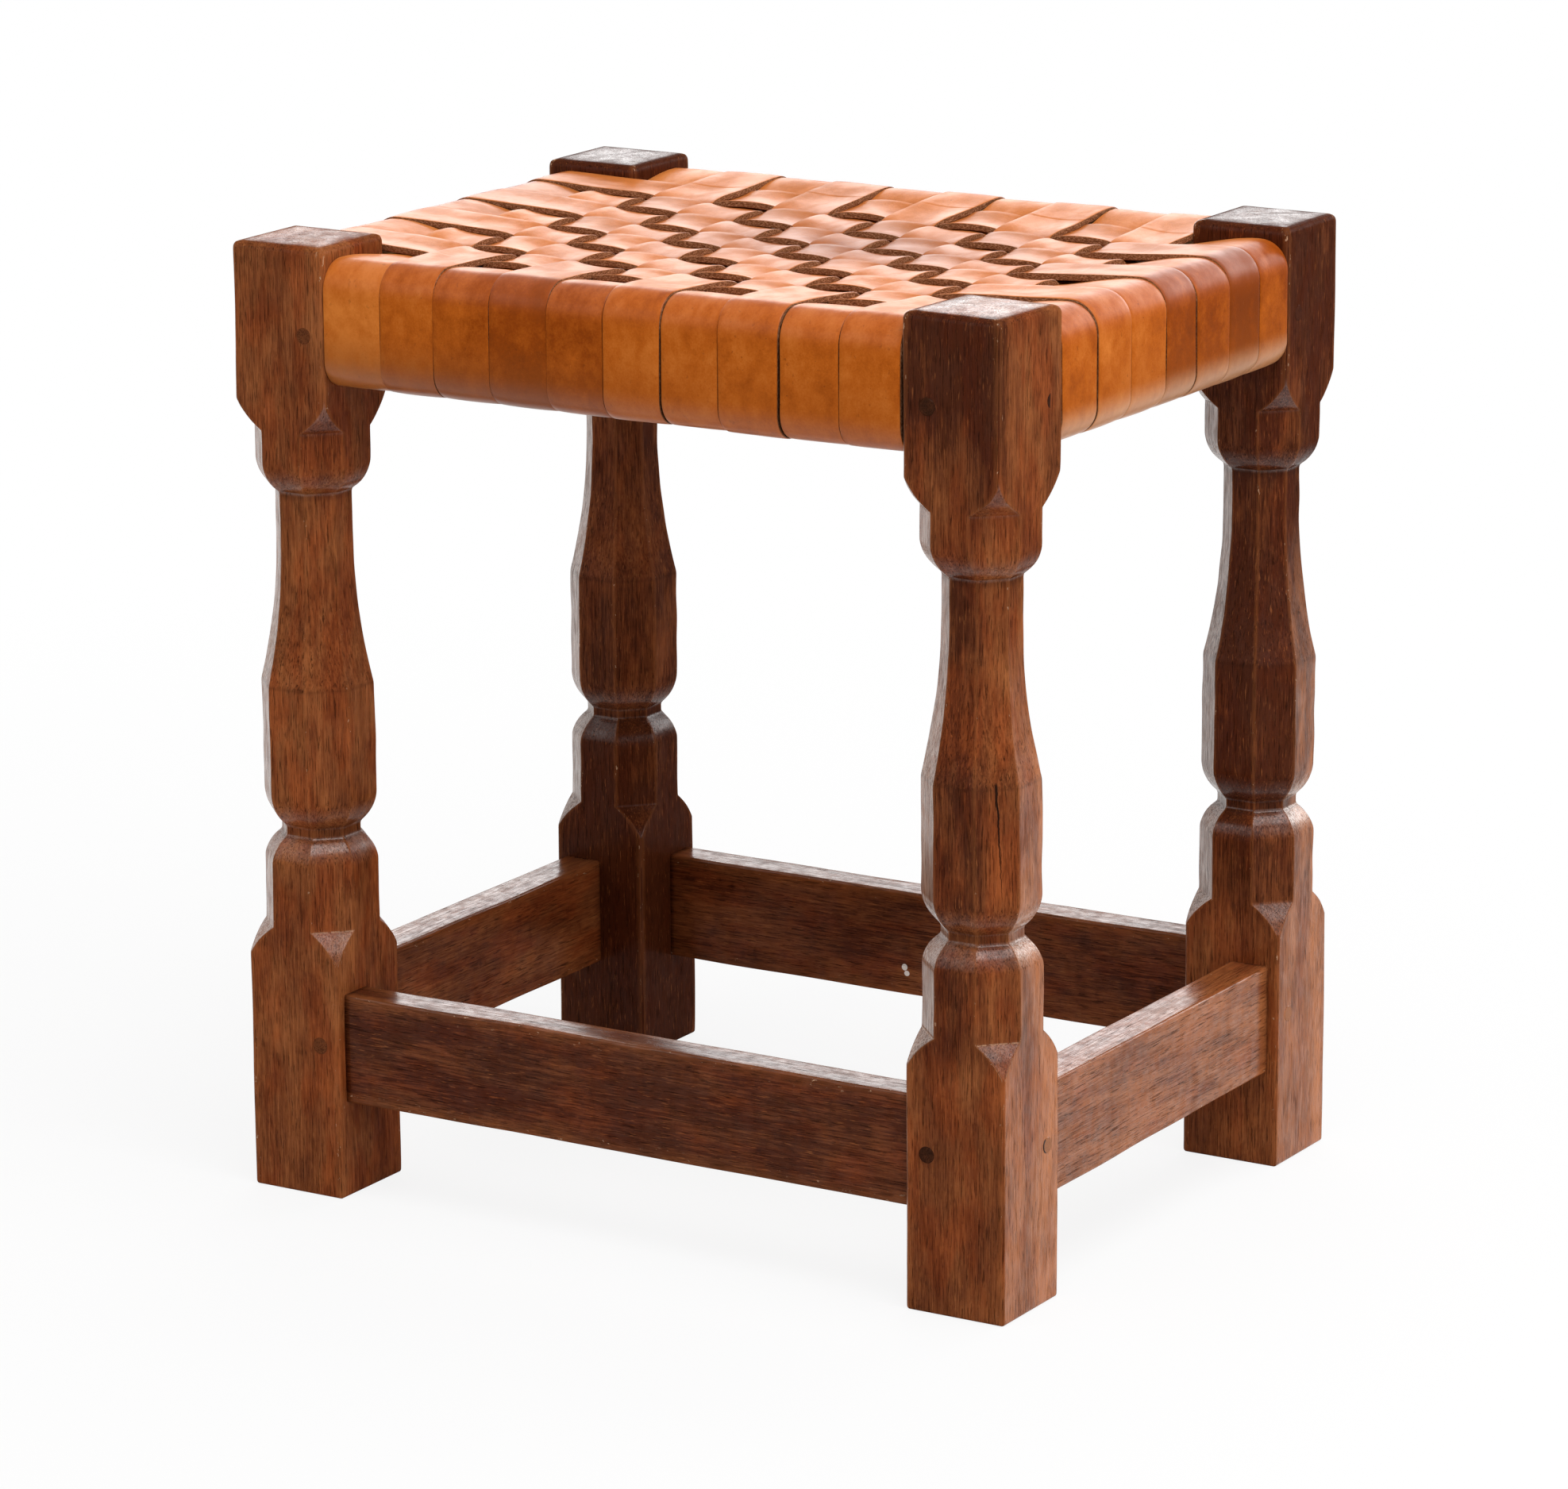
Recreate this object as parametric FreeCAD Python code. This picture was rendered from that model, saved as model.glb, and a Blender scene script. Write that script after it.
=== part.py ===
import FreeCAD, Part
import math
import os

# Joined oak stool with a seat of woven leather straps.
# Millimetres. X is the long side, Y points away from the front, Z is up.
# The origin is the middle of the footprint, on the floor.

# The stool over all
WIDTH = 377.0
DEPTH = 292.0
HEIGHT = 420.0

# Legs: one square post each, worked to eight sides between head and foot. A cut is taken in from its faces
LEG_SIDE = 46.5
LEG_ARRIS = 0.7
LEG_TOP_ROUND = 3.0
FOOT_BEVEL = 1.0
FOOT_HEIGHT = 106.0
STOP_LENGTH = 13.0
STOP_BOW = 1.4
LOW_BLOCK = 29.0
LOW_ROUND = 11.2
LOW_ROUND_BOW = 1.3
NECK_CUT = 7.15
NECK_LENGTH = 4.4
WAIST_ROUND = 13.4
WAIST_ROUND_BOW = 1.5
WAIST_CUT = 0.15
WAIST_BLOCK = 49.0
FLARE_BOW = -2.1
SHANK_CUT = 7.8
SHANK_LENGTH = 15.3
HIGH_ROUND = 12.7
HIGH_ROUND_BOW = 1.7
HIGH_BLOCK = 15.0
HEAD_HEIGHT = 68.0

# Leather straps
STRAPS_LENGTHWISE = 10
STRAPS_CROSSWISE = 7
STRAP_THICK = 3.0
STRAP_GAP = 0.3
STRAP_SEAT = 0.2
STRAP_SETBACK = 0.4
STRAP_TURN_UP = 24.0

# The weave. Where straps cross they are narrower, so that each can step between its neighbours
WEAVE_DROP = 3.0
WEAVE_CLEARANCE = 0.2
WEAVE_STEP_DEGREES = 55.0
WEAVE_INNER_BEND = 0.7
WEAVE_ENTRY_BEND = 6.0
LEAVE_BEND = 20.0
LEAVE_ROUND_SHARE = 0.75

# Seat rails, under the straps
SEAT_RAIL_HEIGHT = 48.5
SEAT_RAIL_THICK = 30.0
SEAT_RAIL_BELOW_TOP = 8.2
RAIL_ROUND_TOP_OUTER = 10.0
RAIL_ROUND_TOP_INNER = 8.0
RAIL_ROUND_LOW_OUTER = 9.0
RAIL_ROUND_LOW_INNER = 5.0

# Stretchers
STRETCHER_HEIGHT = 48.7
STRETCHER_LIFT = 43.3
STRETCHER_SETBACK = 5.0
STRETCHER_ARRIS = 1.0
LONG_STRETCHER_THICK = 17.0
SIDE_STRETCHER_THICK = 18.5

# Mortises and tenons. Tenons that meet in one leg stay apart
SEAT_TENON_THICK = 12.0
SEAT_TENON_SHOULDER = 6.0
SEAT_TENON_INSET = 3.0
LOW_TENON_THICK = 9.0
LOW_TENON_SHOULDER = 6.0
TENONS_APART = 2.9
MORTISE_CHEEK = 0.1
MORTISE_END = 0.8

# Pegs. The two that cross in one leg stay apart
PEG_RADIUS = 3.75
PEG_PROUD = 0.3
PEG_BEVEL = 0.5
PEG_FROM_SHOULDER = 10.0
PEG_FIT = 0.05
PEGS_APART = 2.75
SEAT_PEG_DROP = 5.5
LOW_PEG_LIFT = 1.0

# Nails
NAIL_HEAD_RADIUS = 3.2
NAIL_HEAD_RIM = 0.3
NAIL_HEAD_RISE = 0.9
NAIL_HEAD_BOW = 0.3
NAIL_SHANK_RADIUS = 0.8
NAIL_LENGTH = 15.0
NAIL_POINT = 3.0
NAIL_FIT = 0.05
NAIL_SPREAD = 15.0
NAIL_BELOW_END = 7.0

# How far a cut runs past what it cuts
OVER = 1.0

# Places that follow from the sizes
INNER_X = WIDTH / 2 - LEG_SIDE
INNER_Y = DEPTH / 2 - LEG_SIDE
SEAT_RAIL_TOP = HEIGHT - SEAT_RAIL_BELOW_TOP
SEAT_RAIL_LOW = SEAT_RAIL_TOP - SEAT_RAIL_HEIGHT
SEAT_RAIL_SETBACK = STRAP_SETBACK + STRAP_THICK + STRAP_SEAT
SEAT_TENON_FAR_CHEEK = SEAT_RAIL_SETBACK + SEAT_TENON_INSET + SEAT_TENON_THICK
STRETCHER_TOP = STRETCHER_LIFT + STRETCHER_HEIGHT
PEG_DEPTH = LEG_SIDE - PEG_FROM_SHOULDER - PEG_RADIUS - PEGS_APART
SEAT_PEG_HEIGHT = (SEAT_RAIL_LOW + SEAT_RAIL_TOP) / 2 - SEAT_PEG_DROP
LOW_PEG_HEIGHT = (STRETCHER_LIFT + STRETCHER_TOP) / 2 + LOW_PEG_LIFT
STRAP_OFF_RAIL = STRAP_SEAT + STRAP_THICK / 2
WEAVE_MIDDLE = SEAT_RAIL_TOP + STRAP_OFF_RAIL - WEAVE_DROP
WEAVE_LEVEL = (STRAP_THICK + WEAVE_CLEARANCE) / 2
WEAVE_BEND = WEAVE_INNER_BEND + STRAP_THICK / 2
WEAVE_STEP = math.radians(WEAVE_STEP_DEGREES)
WEAVE_RUN = 2 * WEAVE_LEVEL / math.tan(WEAVE_STEP)
WEAVE_GAP = (STRAP_THICK + 2 * WEAVE_CLEARANCE) / math.sin(WEAVE_STEP) - WEAVE_CLEARANCE / math.tan(WEAVE_STEP)

UP = FreeCAD.Vector(0, 0, 1)
ORIGIN = FreeCAD.Vector(0, 0, 0)


class Side:
    """One side of the stool, with places given as (across, along, height).

    across grows from the middle of the stool out to this side, and along runs sideways. half is the
    distance out to the faces of the legs, inner the distance to their inner faces, and reach the
    distance along to the legs.
    """

    def __init__(self, name, axis, sign):
        self.name = name
        self.axis = axis
        self.sign = sign
        faces_y = axis == "y"
        self.half = (DEPTH if faces_y else WIDTH) / 2
        self.inner = INNER_Y if faces_y else INNER_X
        self.reach = INNER_X if faces_y else INNER_Y
        self.straps = STRAPS_LENGTHWISE if faces_y else STRAPS_CROSSWISE
        self.stretcher_thick = LONG_STRETCHER_THICK if faces_y else SIDE_STRETCHER_THICK
        self.next_stretcher_thick = SIDE_STRETCHER_THICK if faces_y else LONG_STRETCHER_THICK

    def point(self, across, along, height):
        if self.axis == "y":
            return FreeCAD.Vector(along, self.sign * across, height)
        return FreeCAD.Vector(self.sign * across, along, height)

    def section(self, across, height):
        """A point of an outline that is seen along the rail."""
        return self.point(across, 0, height)

    def box(self, across, along, height):
        """A box between a pair of each."""
        a = self.point(across[0], along[0], height[0])
        b = self.point(across[1], along[1], height[1])
        low = FreeCAD.Vector(min(a.x, b.x), min(a.y, b.y), min(a.z, b.z))
        return Part.makeBox(abs(a.x - b.x), abs(a.y - b.y), abs(a.z - b.z), low)

    def extrude(self, section_edges, start, length):
        """A prism along the rail."""
        face = Part.Face(Part.Wire(section_edges))
        face.translate(self.point(0, start, 0))
        return face.extrude(self.point(0, length, 0))

    def strap_middle(self, index):
        """Where the middle of a strap lies along the rail."""
        return -self.reach + (index + 0.5) * self.strap_pitch()

    def strap_pitch(self):
        return 2 * self.reach / self.straps


FRONT = Side("front", "y", -1)
BACK = Side("back", "y", 1)
LEFT = Side("left", "x", -1)
RIGHT = Side("right", "x", 1)
SIDES = (FRONT, BACK, LEFT, RIGHT)


# Outlines


def heading(start, end):
    """The direction from start to end, one long."""
    distance = math.hypot(end[0] - start[0], end[1] - start[1])
    return (end[0] - start[0]) / distance, (end[1] - start[1]) / distance


def middle_of(start, end, bow):
    """The middle of a chord, moved to its right by the bow."""
    along = heading(start, end)
    return (start[0] + end[0]) / 2 + bow * along[1], (start[1] + end[1]) / 2 - bow * along[0]


def step_edge(start, end, bow, place):
    """A line from start to end, or an arc that stands out by bow to the right."""
    if bow == 0:
        return Part.LineSegment(place(*start), place(*end)).toShape()
    return Part.Arc(place(*start), place(*middle_of(start, end, bow)), place(*end)).toShape()


def rounded_edges(points, radii, place):
    """Lines through the points, with each corner turned by an arc of its radius."""
    edges = []
    last = points[0]
    for before, corner, after, radius in zip(points, points[1:], points[2:], radii[1:]):
        into = heading(before, corner)
        out = heading(corner, after)
        turn = math.acos(max(-1, min(1, into[0] * out[0] + into[1] * out[1])))
        tangent = radius * math.tan(turn / 2)
        start = (corner[0] - into[0] * tangent, corner[1] - into[1] * tangent)
        end = (corner[0] + out[0] * tangent, corner[1] + out[1] * tangent)
        edges.append(step_edge(last, start, 0, place))
        if tangent > 0:
            turns_left = into[0] * out[1] - into[1] * out[0] > 0
            sagitta = radius * (1 - math.cos(turn / 2))
            edges.append(step_edge(start, end, sagitta if turns_left else -sagitta, place))
        last = end
    edges.append(step_edge(last, points[-1], 0, place))
    return edges


def beside(points, radii, offset):
    """A line that keeps offset to the left of another, with the radii of its corners."""
    headings = [heading(a, b) for a, b in zip(points, points[1:])]
    moved = []
    turned = []
    for point, radius, into, out in zip(points, radii, headings[:1] + headings, headings + headings[-1:]):
        reach = offset / (1 + into[0] * out[0] + into[1] * out[1])
        moved.append((point[0] - reach * (into[1] + out[1]), point[1] + reach * (into[0] + out[0])))
        turns_left = into[0] * out[1] - into[1] * out[0] > 0
        turned.append(radius - offset if turns_left else radius + offset)
    return moved, turned


def strip_edges(points, radii, thick, place):
    """The closed outline of a strip of even thickness about a line."""
    left, left_radii = beside(points, radii, thick / 2)
    right, right_radii = beside(points, radii, -thick / 2)
    edges = rounded_edges(left, left_radii, place)
    edges.append(step_edge(left[-1], right[-1], 0, place))
    edges += rounded_edges(right[::-1], right_radii[::-1], place)
    edges.append(step_edge(right[0], left[0], 0, place))
    return edges


# Legs


def leg_steps(square_reach):
    """The right half of a leg's outline from the floor up, as (radius, height, bow of the step that ends there).

    square_reach is how far the square parts reach from the axis: to their flats, or to their corners.
    """
    half = LEG_SIDE / 2
    low_block = FOOT_HEIGHT + STOP_LENGTH
    low_round = low_block + LOW_BLOCK
    neck = low_round + LOW_ROUND
    waist_round = neck + NECK_LENGTH
    waist = waist_round + WAIST_ROUND
    flare = waist + WAIST_BLOCK
    head = HEIGHT - HEAD_HEIGHT
    high_stop = head - STOP_LENGTH
    high_round = high_stop - HIGH_BLOCK
    shank_top = high_round - HIGH_ROUND
    shank = shank_top - SHANK_LENGTH
    stop_bow = STOP_BOW if square_reach > half else 0
    top_bow = LEG_TOP_ROUND * (1 - math.sqrt(0.5))
    return [
        (square_reach - FOOT_BEVEL, 0, 0),
        (square_reach, FOOT_BEVEL, 0),
        (square_reach, FOOT_HEIGHT, 0),
        (half, low_block, stop_bow),
        (half, low_round, 0),
        (half - NECK_CUT, neck, LOW_ROUND_BOW),
        (half - NECK_CUT, waist_round, 0),
        (half - WAIST_CUT, waist, WAIST_ROUND_BOW),
        (half - WAIST_CUT, flare, 0),
        (half - SHANK_CUT, shank, FLARE_BOW),
        (half - SHANK_CUT, shank_top, 0),
        (half, high_round, HIGH_ROUND_BOW),
        (half, high_stop, 0),
        (square_reach, head, stop_bow),
        (square_reach, HEIGHT - LEG_TOP_ROUND, 0),
        (square_reach - LEG_TOP_ROUND, HEIGHT, top_bow),
    ]


def post_prism(steps, angle):
    """A level prism between an outline and its mirror image, turned about the leg's axis."""
    half_length = LEG_SIDE + OVER

    def right(radius, height):
        return FreeCAD.Vector(radius, -half_length, height)

    def left(radius, height):
        return FreeCAD.Vector(-radius, -half_length, height)

    pairs = list(zip(steps, steps[1:]))
    up = [step_edge(a[:2], b[:2], b[2], right) for a, b in pairs]
    down = [step_edge(a[:2], b[:2], b[2], left) for a, b in pairs]
    top = Part.LineSegment(right(*steps[-1][:2]), left(*steps[-1][:2])).toShape()
    bottom = Part.LineSegment(left(*steps[0][:2]), right(*steps[0][:2])).toShape()
    wire = Part.Wire(up + [top] + down[::-1] + [bottom])
    prism = Part.Face(wire).extrude(FreeCAD.Vector(0, 2 * half_length, 0))
    prism.rotate(ORIGIN, UP, angle)
    return prism


def worked_post():
    """A leg about its own axis, before its mortises: where the prisms of all its facets meet."""
    flats = leg_steps(LEG_SIDE / 2)
    corners = leg_steps(LEG_SIDE / math.sqrt(2) - LEG_ARRIS)
    post = post_prism(flats, 0).common(post_prism(flats, 90))
    return post.common(post_prism(corners, 45)).common(post_prism(corners, 135))


def leg(leg_x, leg_y, post):
    """A leg in its corner, with mortises and peg holes for the pieces that it carries."""
    body = post.copy()
    body.translate(FreeCAD.Vector(leg_x * (INNER_X + LEG_SIDE / 2), leg_y * (INNER_Y + LEG_SIDE / 2), 0))
    for side, end in sides_at(leg_x, leg_y):
        body = body.cut(seat_tenon(side, end, MORTISE_CHEEK, MORTISE_END))
        body = body.cut(low_tenon(side, end, MORTISE_CHEEK, MORTISE_END))
        body = body.cut(peg_hole(side, end, SEAT_PEG_HEIGHT))
        body = body.cut(peg_hole(side, end, LOW_PEG_HEIGHT))
    return body


def sides_at(leg_x, leg_y):
    """The two sides that meet in a leg, each with the end of it that lies there."""
    return (BACK if leg_y > 0 else FRONT, leg_x), (RIGHT if leg_x > 0 else LEFT, leg_y)


# Seat rails and stretchers, with their tenons


def seat_tenon(side, end, cheek_gap, end_gap):
    """A tenon of a seat rail, or its mortise when grown by the gaps."""
    outer = side.half - SEAT_RAIL_SETBACK - SEAT_TENON_INSET
    length = LEG_SIDE - SEAT_TENON_FAR_CHEEK - TENONS_APART
    across = (outer - SEAT_TENON_THICK - cheek_gap, outer + cheek_gap)
    along = (end * side.reach, end * (side.reach + length + end_gap))
    low = SEAT_RAIL_LOW + SEAT_TENON_SHOULDER - cheek_gap
    return side.box(across, along, (low, SEAT_RAIL_TOP - SEAT_TENON_SHOULDER + cheek_gap))


def low_tenon(side, end, cheek_gap, end_gap):
    """A tenon of a stretcher, or its mortise when grown by the gaps."""
    middle = side.half - STRETCHER_SETBACK - side.stretcher_thick / 2
    next_far_cheek = STRETCHER_SETBACK + (side.next_stretcher_thick + LOW_TENON_THICK) / 2
    length = LEG_SIDE - next_far_cheek - TENONS_APART
    half_thick = LOW_TENON_THICK / 2 + cheek_gap
    along = (end * side.reach, end * (side.reach + length + end_gap))
    low = STRETCHER_LIFT + LOW_TENON_SHOULDER - cheek_gap
    return side.box((middle - half_thick, middle + half_thick), along,
                    (low, STRETCHER_TOP - LOW_TENON_SHOULDER + cheek_gap))


def seat_rail(side):
    """A rail with rounded edges, tenons, peg holes and nail holes."""
    outer = side.half - SEAT_RAIL_SETBACK
    inner = outer - SEAT_RAIL_THICK
    seam = ((outer + inner) / 2, SEAT_RAIL_LOW)
    corners = [(outer, SEAT_RAIL_LOW), (outer, SEAT_RAIL_TOP), (inner, SEAT_RAIL_TOP), (inner, SEAT_RAIL_LOW)]
    points = [seam] + corners + [seam]
    radii = [0, RAIL_ROUND_LOW_OUTER, RAIL_ROUND_TOP_OUTER, RAIL_ROUND_TOP_INNER, RAIL_ROUND_LOW_INNER, 0]
    rail = side.extrude(rounded_edges(points, radii, side.section), -side.reach, 2 * side.reach)
    for end in (-1, 1):
        rail = rail.fuse(seat_tenon(side, end, 0, 0))
    for end in (-1, 1):
        rail = rail.cut(peg_hole(side, end, SEAT_PEG_HEIGHT))
    holes = [hole for index in range(side.straps) for hole in strap_fixings(side, index, nail_hole())]
    return rail.cut(Part.makeCompound(holes))


def stretcher(side):
    """A stretcher with eased long edges, tenons and peg holes."""
    outer = side.half - STRETCHER_SETBACK
    across = (outer - side.stretcher_thick, outer)
    body = side.box(across, (-side.reach, side.reach), (STRETCHER_LIFT, STRETCHER_TOP))
    long_edges = [edge for edge in body.Edges if edge.Length > STRETCHER_HEIGHT + OVER]
    body = body.makeFillet(STRETCHER_ARRIS, long_edges)
    for end in (-1, 1):
        body = body.fuse(low_tenon(side, end, 0, 0))
    for end in (-1, 1):
        body = body.cut(peg_hole(side, end, LOW_PEG_HEIGHT))
    return body


# Pegs


def peg_at(side, end, height, radius, proud):
    """A cylinder driven into a leg from its outer face."""
    start = side.point(side.half + proud, end * (side.reach + PEG_FROM_SHOULDER), height)
    return Part.makeCylinder(radius, PEG_DEPTH + proud, start, side.point(-1, 0, 0))


def peg_hole(side, end, height):
    return peg_at(side, end, height, PEG_RADIUS + PEG_FIT, OVER)


def leg_pegs(leg_x, leg_y):
    """The four pegs of one leg, with bevelled ends."""
    pegs = []
    for side, end in sides_at(leg_x, leg_y):
        for height in (SEAT_PEG_HEIGHT, LOW_PEG_HEIGHT):
            peg = peg_at(side, end, height, PEG_RADIUS, PEG_PROUD)
            rims = [edge for edge in peg.Edges if len(edge.Vertexes) == 1]
            pegs.append(peg.makeChamfer(PEG_BEVEL, rims))
    return Part.makeCompound(pegs)


# Nails


def standing(across, height):
    """A point of an outline that is seen from the front."""
    return FreeCAD.Vector(across, 0, height)


def nail():
    """A clout nail along Z with its point down. The leather's face is at zero, under the head."""
    radius = NAIL_SHANK_RADIUS
    top = (0, NAIL_HEAD_RISE)
    steps = [(NAIL_HEAD_RADIUS, NAIL_HEAD_RIM, -NAIL_HEAD_BOW), (NAIL_HEAD_RADIUS, 0, 0), (radius, 0, 0),
             (radius, NAIL_POINT - NAIL_LENGTH, 0), (0, -NAIL_LENGTH, 0), (*top, 0)]
    edges = []
    last = top
    for across, height, bow in steps:
        edges.append(step_edge(last, (across, height), bow, standing))
        last = (across, height)
    return Part.Face(Part.Wire(edges)).revolve(ORIGIN, UP, 360)


def nail_hole():
    start = FreeCAD.Vector(0, 0, -NAIL_LENGTH)
    return Part.makeCylinder(NAIL_SHANK_RADIUS + NAIL_FIT, NAIL_LENGTH + OVER, start)


def strap_fixings(side, index, pattern):
    """Copies of a nail or its hole where one end of a strap is nailed to the rail's inner face."""
    face = side.half - SEAT_RAIL_SETBACK - SEAT_RAIL_THICK - STRAP_SEAT - STRAP_THICK
    height = SEAT_RAIL_LOW + STRAP_TURN_UP - NAIL_BELOW_END
    inwards = FreeCAD.Rotation(UP, side.point(-1, 0, 0))
    fixings = []
    for half_spread in (-NAIL_SPREAD / 2, NAIL_SPREAD / 2):
        fixing = pattern.copy()
        place = side.point(face, side.strap_middle(index) + half_spread, height)
        fixing.Placement = FreeCAD.Placement(place, inwards)
        fixings.append(fixing)
    return fixings


def rail_nails(side):
    pattern = nail()
    nails = [fixing for index in range(side.straps) for fixing in strap_fixings(side, index, pattern)]
    return Part.makeCompound(nails)


# Straps


def strap_end(side):
    """Corners of a strap's middle line about one rail, from the nailed end to where it leaves, with radii."""
    rail_outer = side.half - SEAT_RAIL_SETBACK
    rail_inner = rail_outer - SEAT_RAIL_THICK
    outer = rail_outer + STRAP_OFF_RAIL
    inner = rail_inner - STRAP_OFF_RAIL
    low = SEAT_RAIL_LOW - STRAP_OFF_RAIL
    top = SEAT_RAIL_TOP + STRAP_OFF_RAIL
    return [
        (inner, SEAT_RAIL_LOW + STRAP_TURN_UP, 0),
        (inner, low, RAIL_ROUND_LOW_INNER + STRAP_OFF_RAIL),
        (outer, low, RAIL_ROUND_LOW_OUTER + STRAP_OFF_RAIL),
        (outer, top, RAIL_ROUND_TOP_OUTER + STRAP_OFF_RAIL),
        (rail_inner + LEAVE_ROUND_SHARE * RAIL_ROUND_TOP_INNER, top, LEAVE_BEND),
    ]


def strap_line(side, crossings, starts_over):
    """Corners of a whole strap's middle line, with radii."""
    near = [(-across, height, radius) for across, height, radius in strap_end(side)]
    far = strap_end(side)[::-1]
    levels = []
    for index in range(crossings):
        over = (index % 2 == 0) == starts_over
        levels.append(WEAVE_MIDDLE + (WEAVE_LEVEL if over else -WEAVE_LEVEL))
    woven = [(-side.inner, levels[0], WEAVE_ENTRY_BEND)]
    for index in range(1, crossings):
        step = -side.inner + index * 2 * side.inner / crossings
        woven.append((step - WEAVE_RUN / 2, levels[index - 1], WEAVE_BEND))
        woven.append((step + WEAVE_RUN / 2, levels[index], WEAVE_BEND))
    woven.append((side.inner, levels[-1], WEAVE_ENTRY_BEND))
    return near + woven + far


def strap(side, index, crossings, starts_over):
    """One strap that ends on this side and the opposite one. It is narrower in the weave than round the rails."""
    middle = side.strap_middle(index)
    pitch = side.strap_pitch()
    line = strap_line(side, crossings, starts_over)
    points = [corner[:2] for corner in line]
    radii = [corner[2] for corner in line]
    edges = strip_edges(points, radii, STRAP_THICK, side.section)
    body = side.extrude(edges, middle - (pitch - STRAP_GAP) / 2, pitch - STRAP_GAP)
    heights = (WEAVE_MIDDLE - 2 * STRAP_THICK, WEAVE_MIDDLE + 2 * STRAP_THICK)
    for edge in (-1, 1):
        along = (middle + edge * (pitch - WEAVE_GAP) / 2, middle + edge * (pitch / 2 + OVER))
        body = body.cut(side.box((-side.inner, side.inner), along, heights))
    for end_side in SIDES:
        if end_side.axis == side.axis:
            body = body.cut(Part.makeCompound(strap_fixings(end_side, index, nail_hole())))
    return body


def save(name, shape):
    shape.exportStep("parts/" + name + ".step")
    volume = sum(solid.Volume for solid in shape.Solids)
    print("%-20s valid %s, solids %2d, volume %9.1f" % (name, shape.isValid(), len(shape.Solids), volume))


def main():
    os.makedirs("parts", exist_ok=True)
    post = worked_post()
    for leg_x, side_name in ((-1, "left"), (1, "right")):
        for leg_y, end_name in ((-1, "front"), (1, "back")):
            save("leg_" + end_name + "_" + side_name, leg(leg_x, leg_y, post))
            save("pegs_" + end_name + "_" + side_name, leg_pegs(leg_x, leg_y))
    for side in SIDES:
        save("seat_rail_" + side.name, seat_rail(side))
        save("stretcher_" + side.name, stretcher(side))
        save("nails_" + side.name, rail_nails(side))
    for index in range(STRAPS_LENGTHWISE):
        starts_over = index % 2 == 1
        save("strap_lengthwise_%02d" % (index + 1), strap(BACK, index, STRAPS_CROSSWISE, starts_over))
    for index in range(STRAPS_CROSSWISE):
        starts_over = index % 2 == 0
        save("strap_crosswise_%02d" % (index + 1), strap(RIGHT, index, STRAPS_LENGTHWISE, starts_over))


main()
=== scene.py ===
"""Looks of a joined oak stool with a seat of woven leather straps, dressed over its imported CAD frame.

Shapes are worked out in millimetres, in the frame's own axes: X along the long side, Y to the back, Z up.
"""

import logging
import math
from collections.abc import Callable
from dataclasses import dataclass, field
from enum import Enum

import bpy
import numpy as np
from mathutils import Euler, Matrix, Vector


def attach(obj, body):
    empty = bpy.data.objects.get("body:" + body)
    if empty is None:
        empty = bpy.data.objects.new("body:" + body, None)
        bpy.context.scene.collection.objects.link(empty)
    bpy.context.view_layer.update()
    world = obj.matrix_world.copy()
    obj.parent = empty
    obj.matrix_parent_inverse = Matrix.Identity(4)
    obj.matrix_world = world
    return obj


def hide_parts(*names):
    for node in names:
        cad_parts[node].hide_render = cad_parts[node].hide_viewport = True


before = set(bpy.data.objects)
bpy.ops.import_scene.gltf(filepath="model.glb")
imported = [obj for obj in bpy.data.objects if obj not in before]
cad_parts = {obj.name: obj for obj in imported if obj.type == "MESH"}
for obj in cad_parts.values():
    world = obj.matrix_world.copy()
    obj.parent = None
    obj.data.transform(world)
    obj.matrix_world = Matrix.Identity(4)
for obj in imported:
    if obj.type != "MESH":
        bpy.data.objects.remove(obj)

LOG = logging.getLogger("stool")
MM = 0.001
Triple = tuple[float, float, float]
RGB = Triple
LegParts = tuple[float, ...]

WIDTH, DEPTH, HEIGHT = 377.0, 292.0, 420.0
LEG_SIDE = 46.5
INNER_X = WIDTH / 2 - LEG_SIDE
INNER_Y = DEPTH / 2 - LEG_SIDE
LEG_X = INNER_X + LEG_SIDE / 2
LEG_Y = INNER_Y + LEG_SIDE / 2
QUARTER = math.pi / 2


class Axis(Enum):
    """The direction in which a piece's grain runs, with the turn that brings it upright."""

    X = (0.0, -QUARTER, 0.0)
    Y = (QUARTER, 0.0, 0.0)
    Z = (0.0, 0.0, 0.0)


# Shader arithmetic


@dataclass
class Wrapped:
    """A socket of a node tree, with the object that fills the tree."""

    shader: "Nodes"
    socket: bpy.types.NodeSocket


def math_method(operation: str, reflected: bool = False) -> Callable[..., "Signal"]:
    """Makes a method of Signal that adds one Math node.

    Args:
        operation: The node's operation.
        reflected: Whether the other value is the node's first input.

    Returns:
        The method.
    """
    def method(self: "Signal", *others: "Signal | float") -> "Signal":
        """Adds the node and gives its result."""
        return self.add_math(operation, *((*others, self) if reflected else (self, *others)))

    return method


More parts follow.
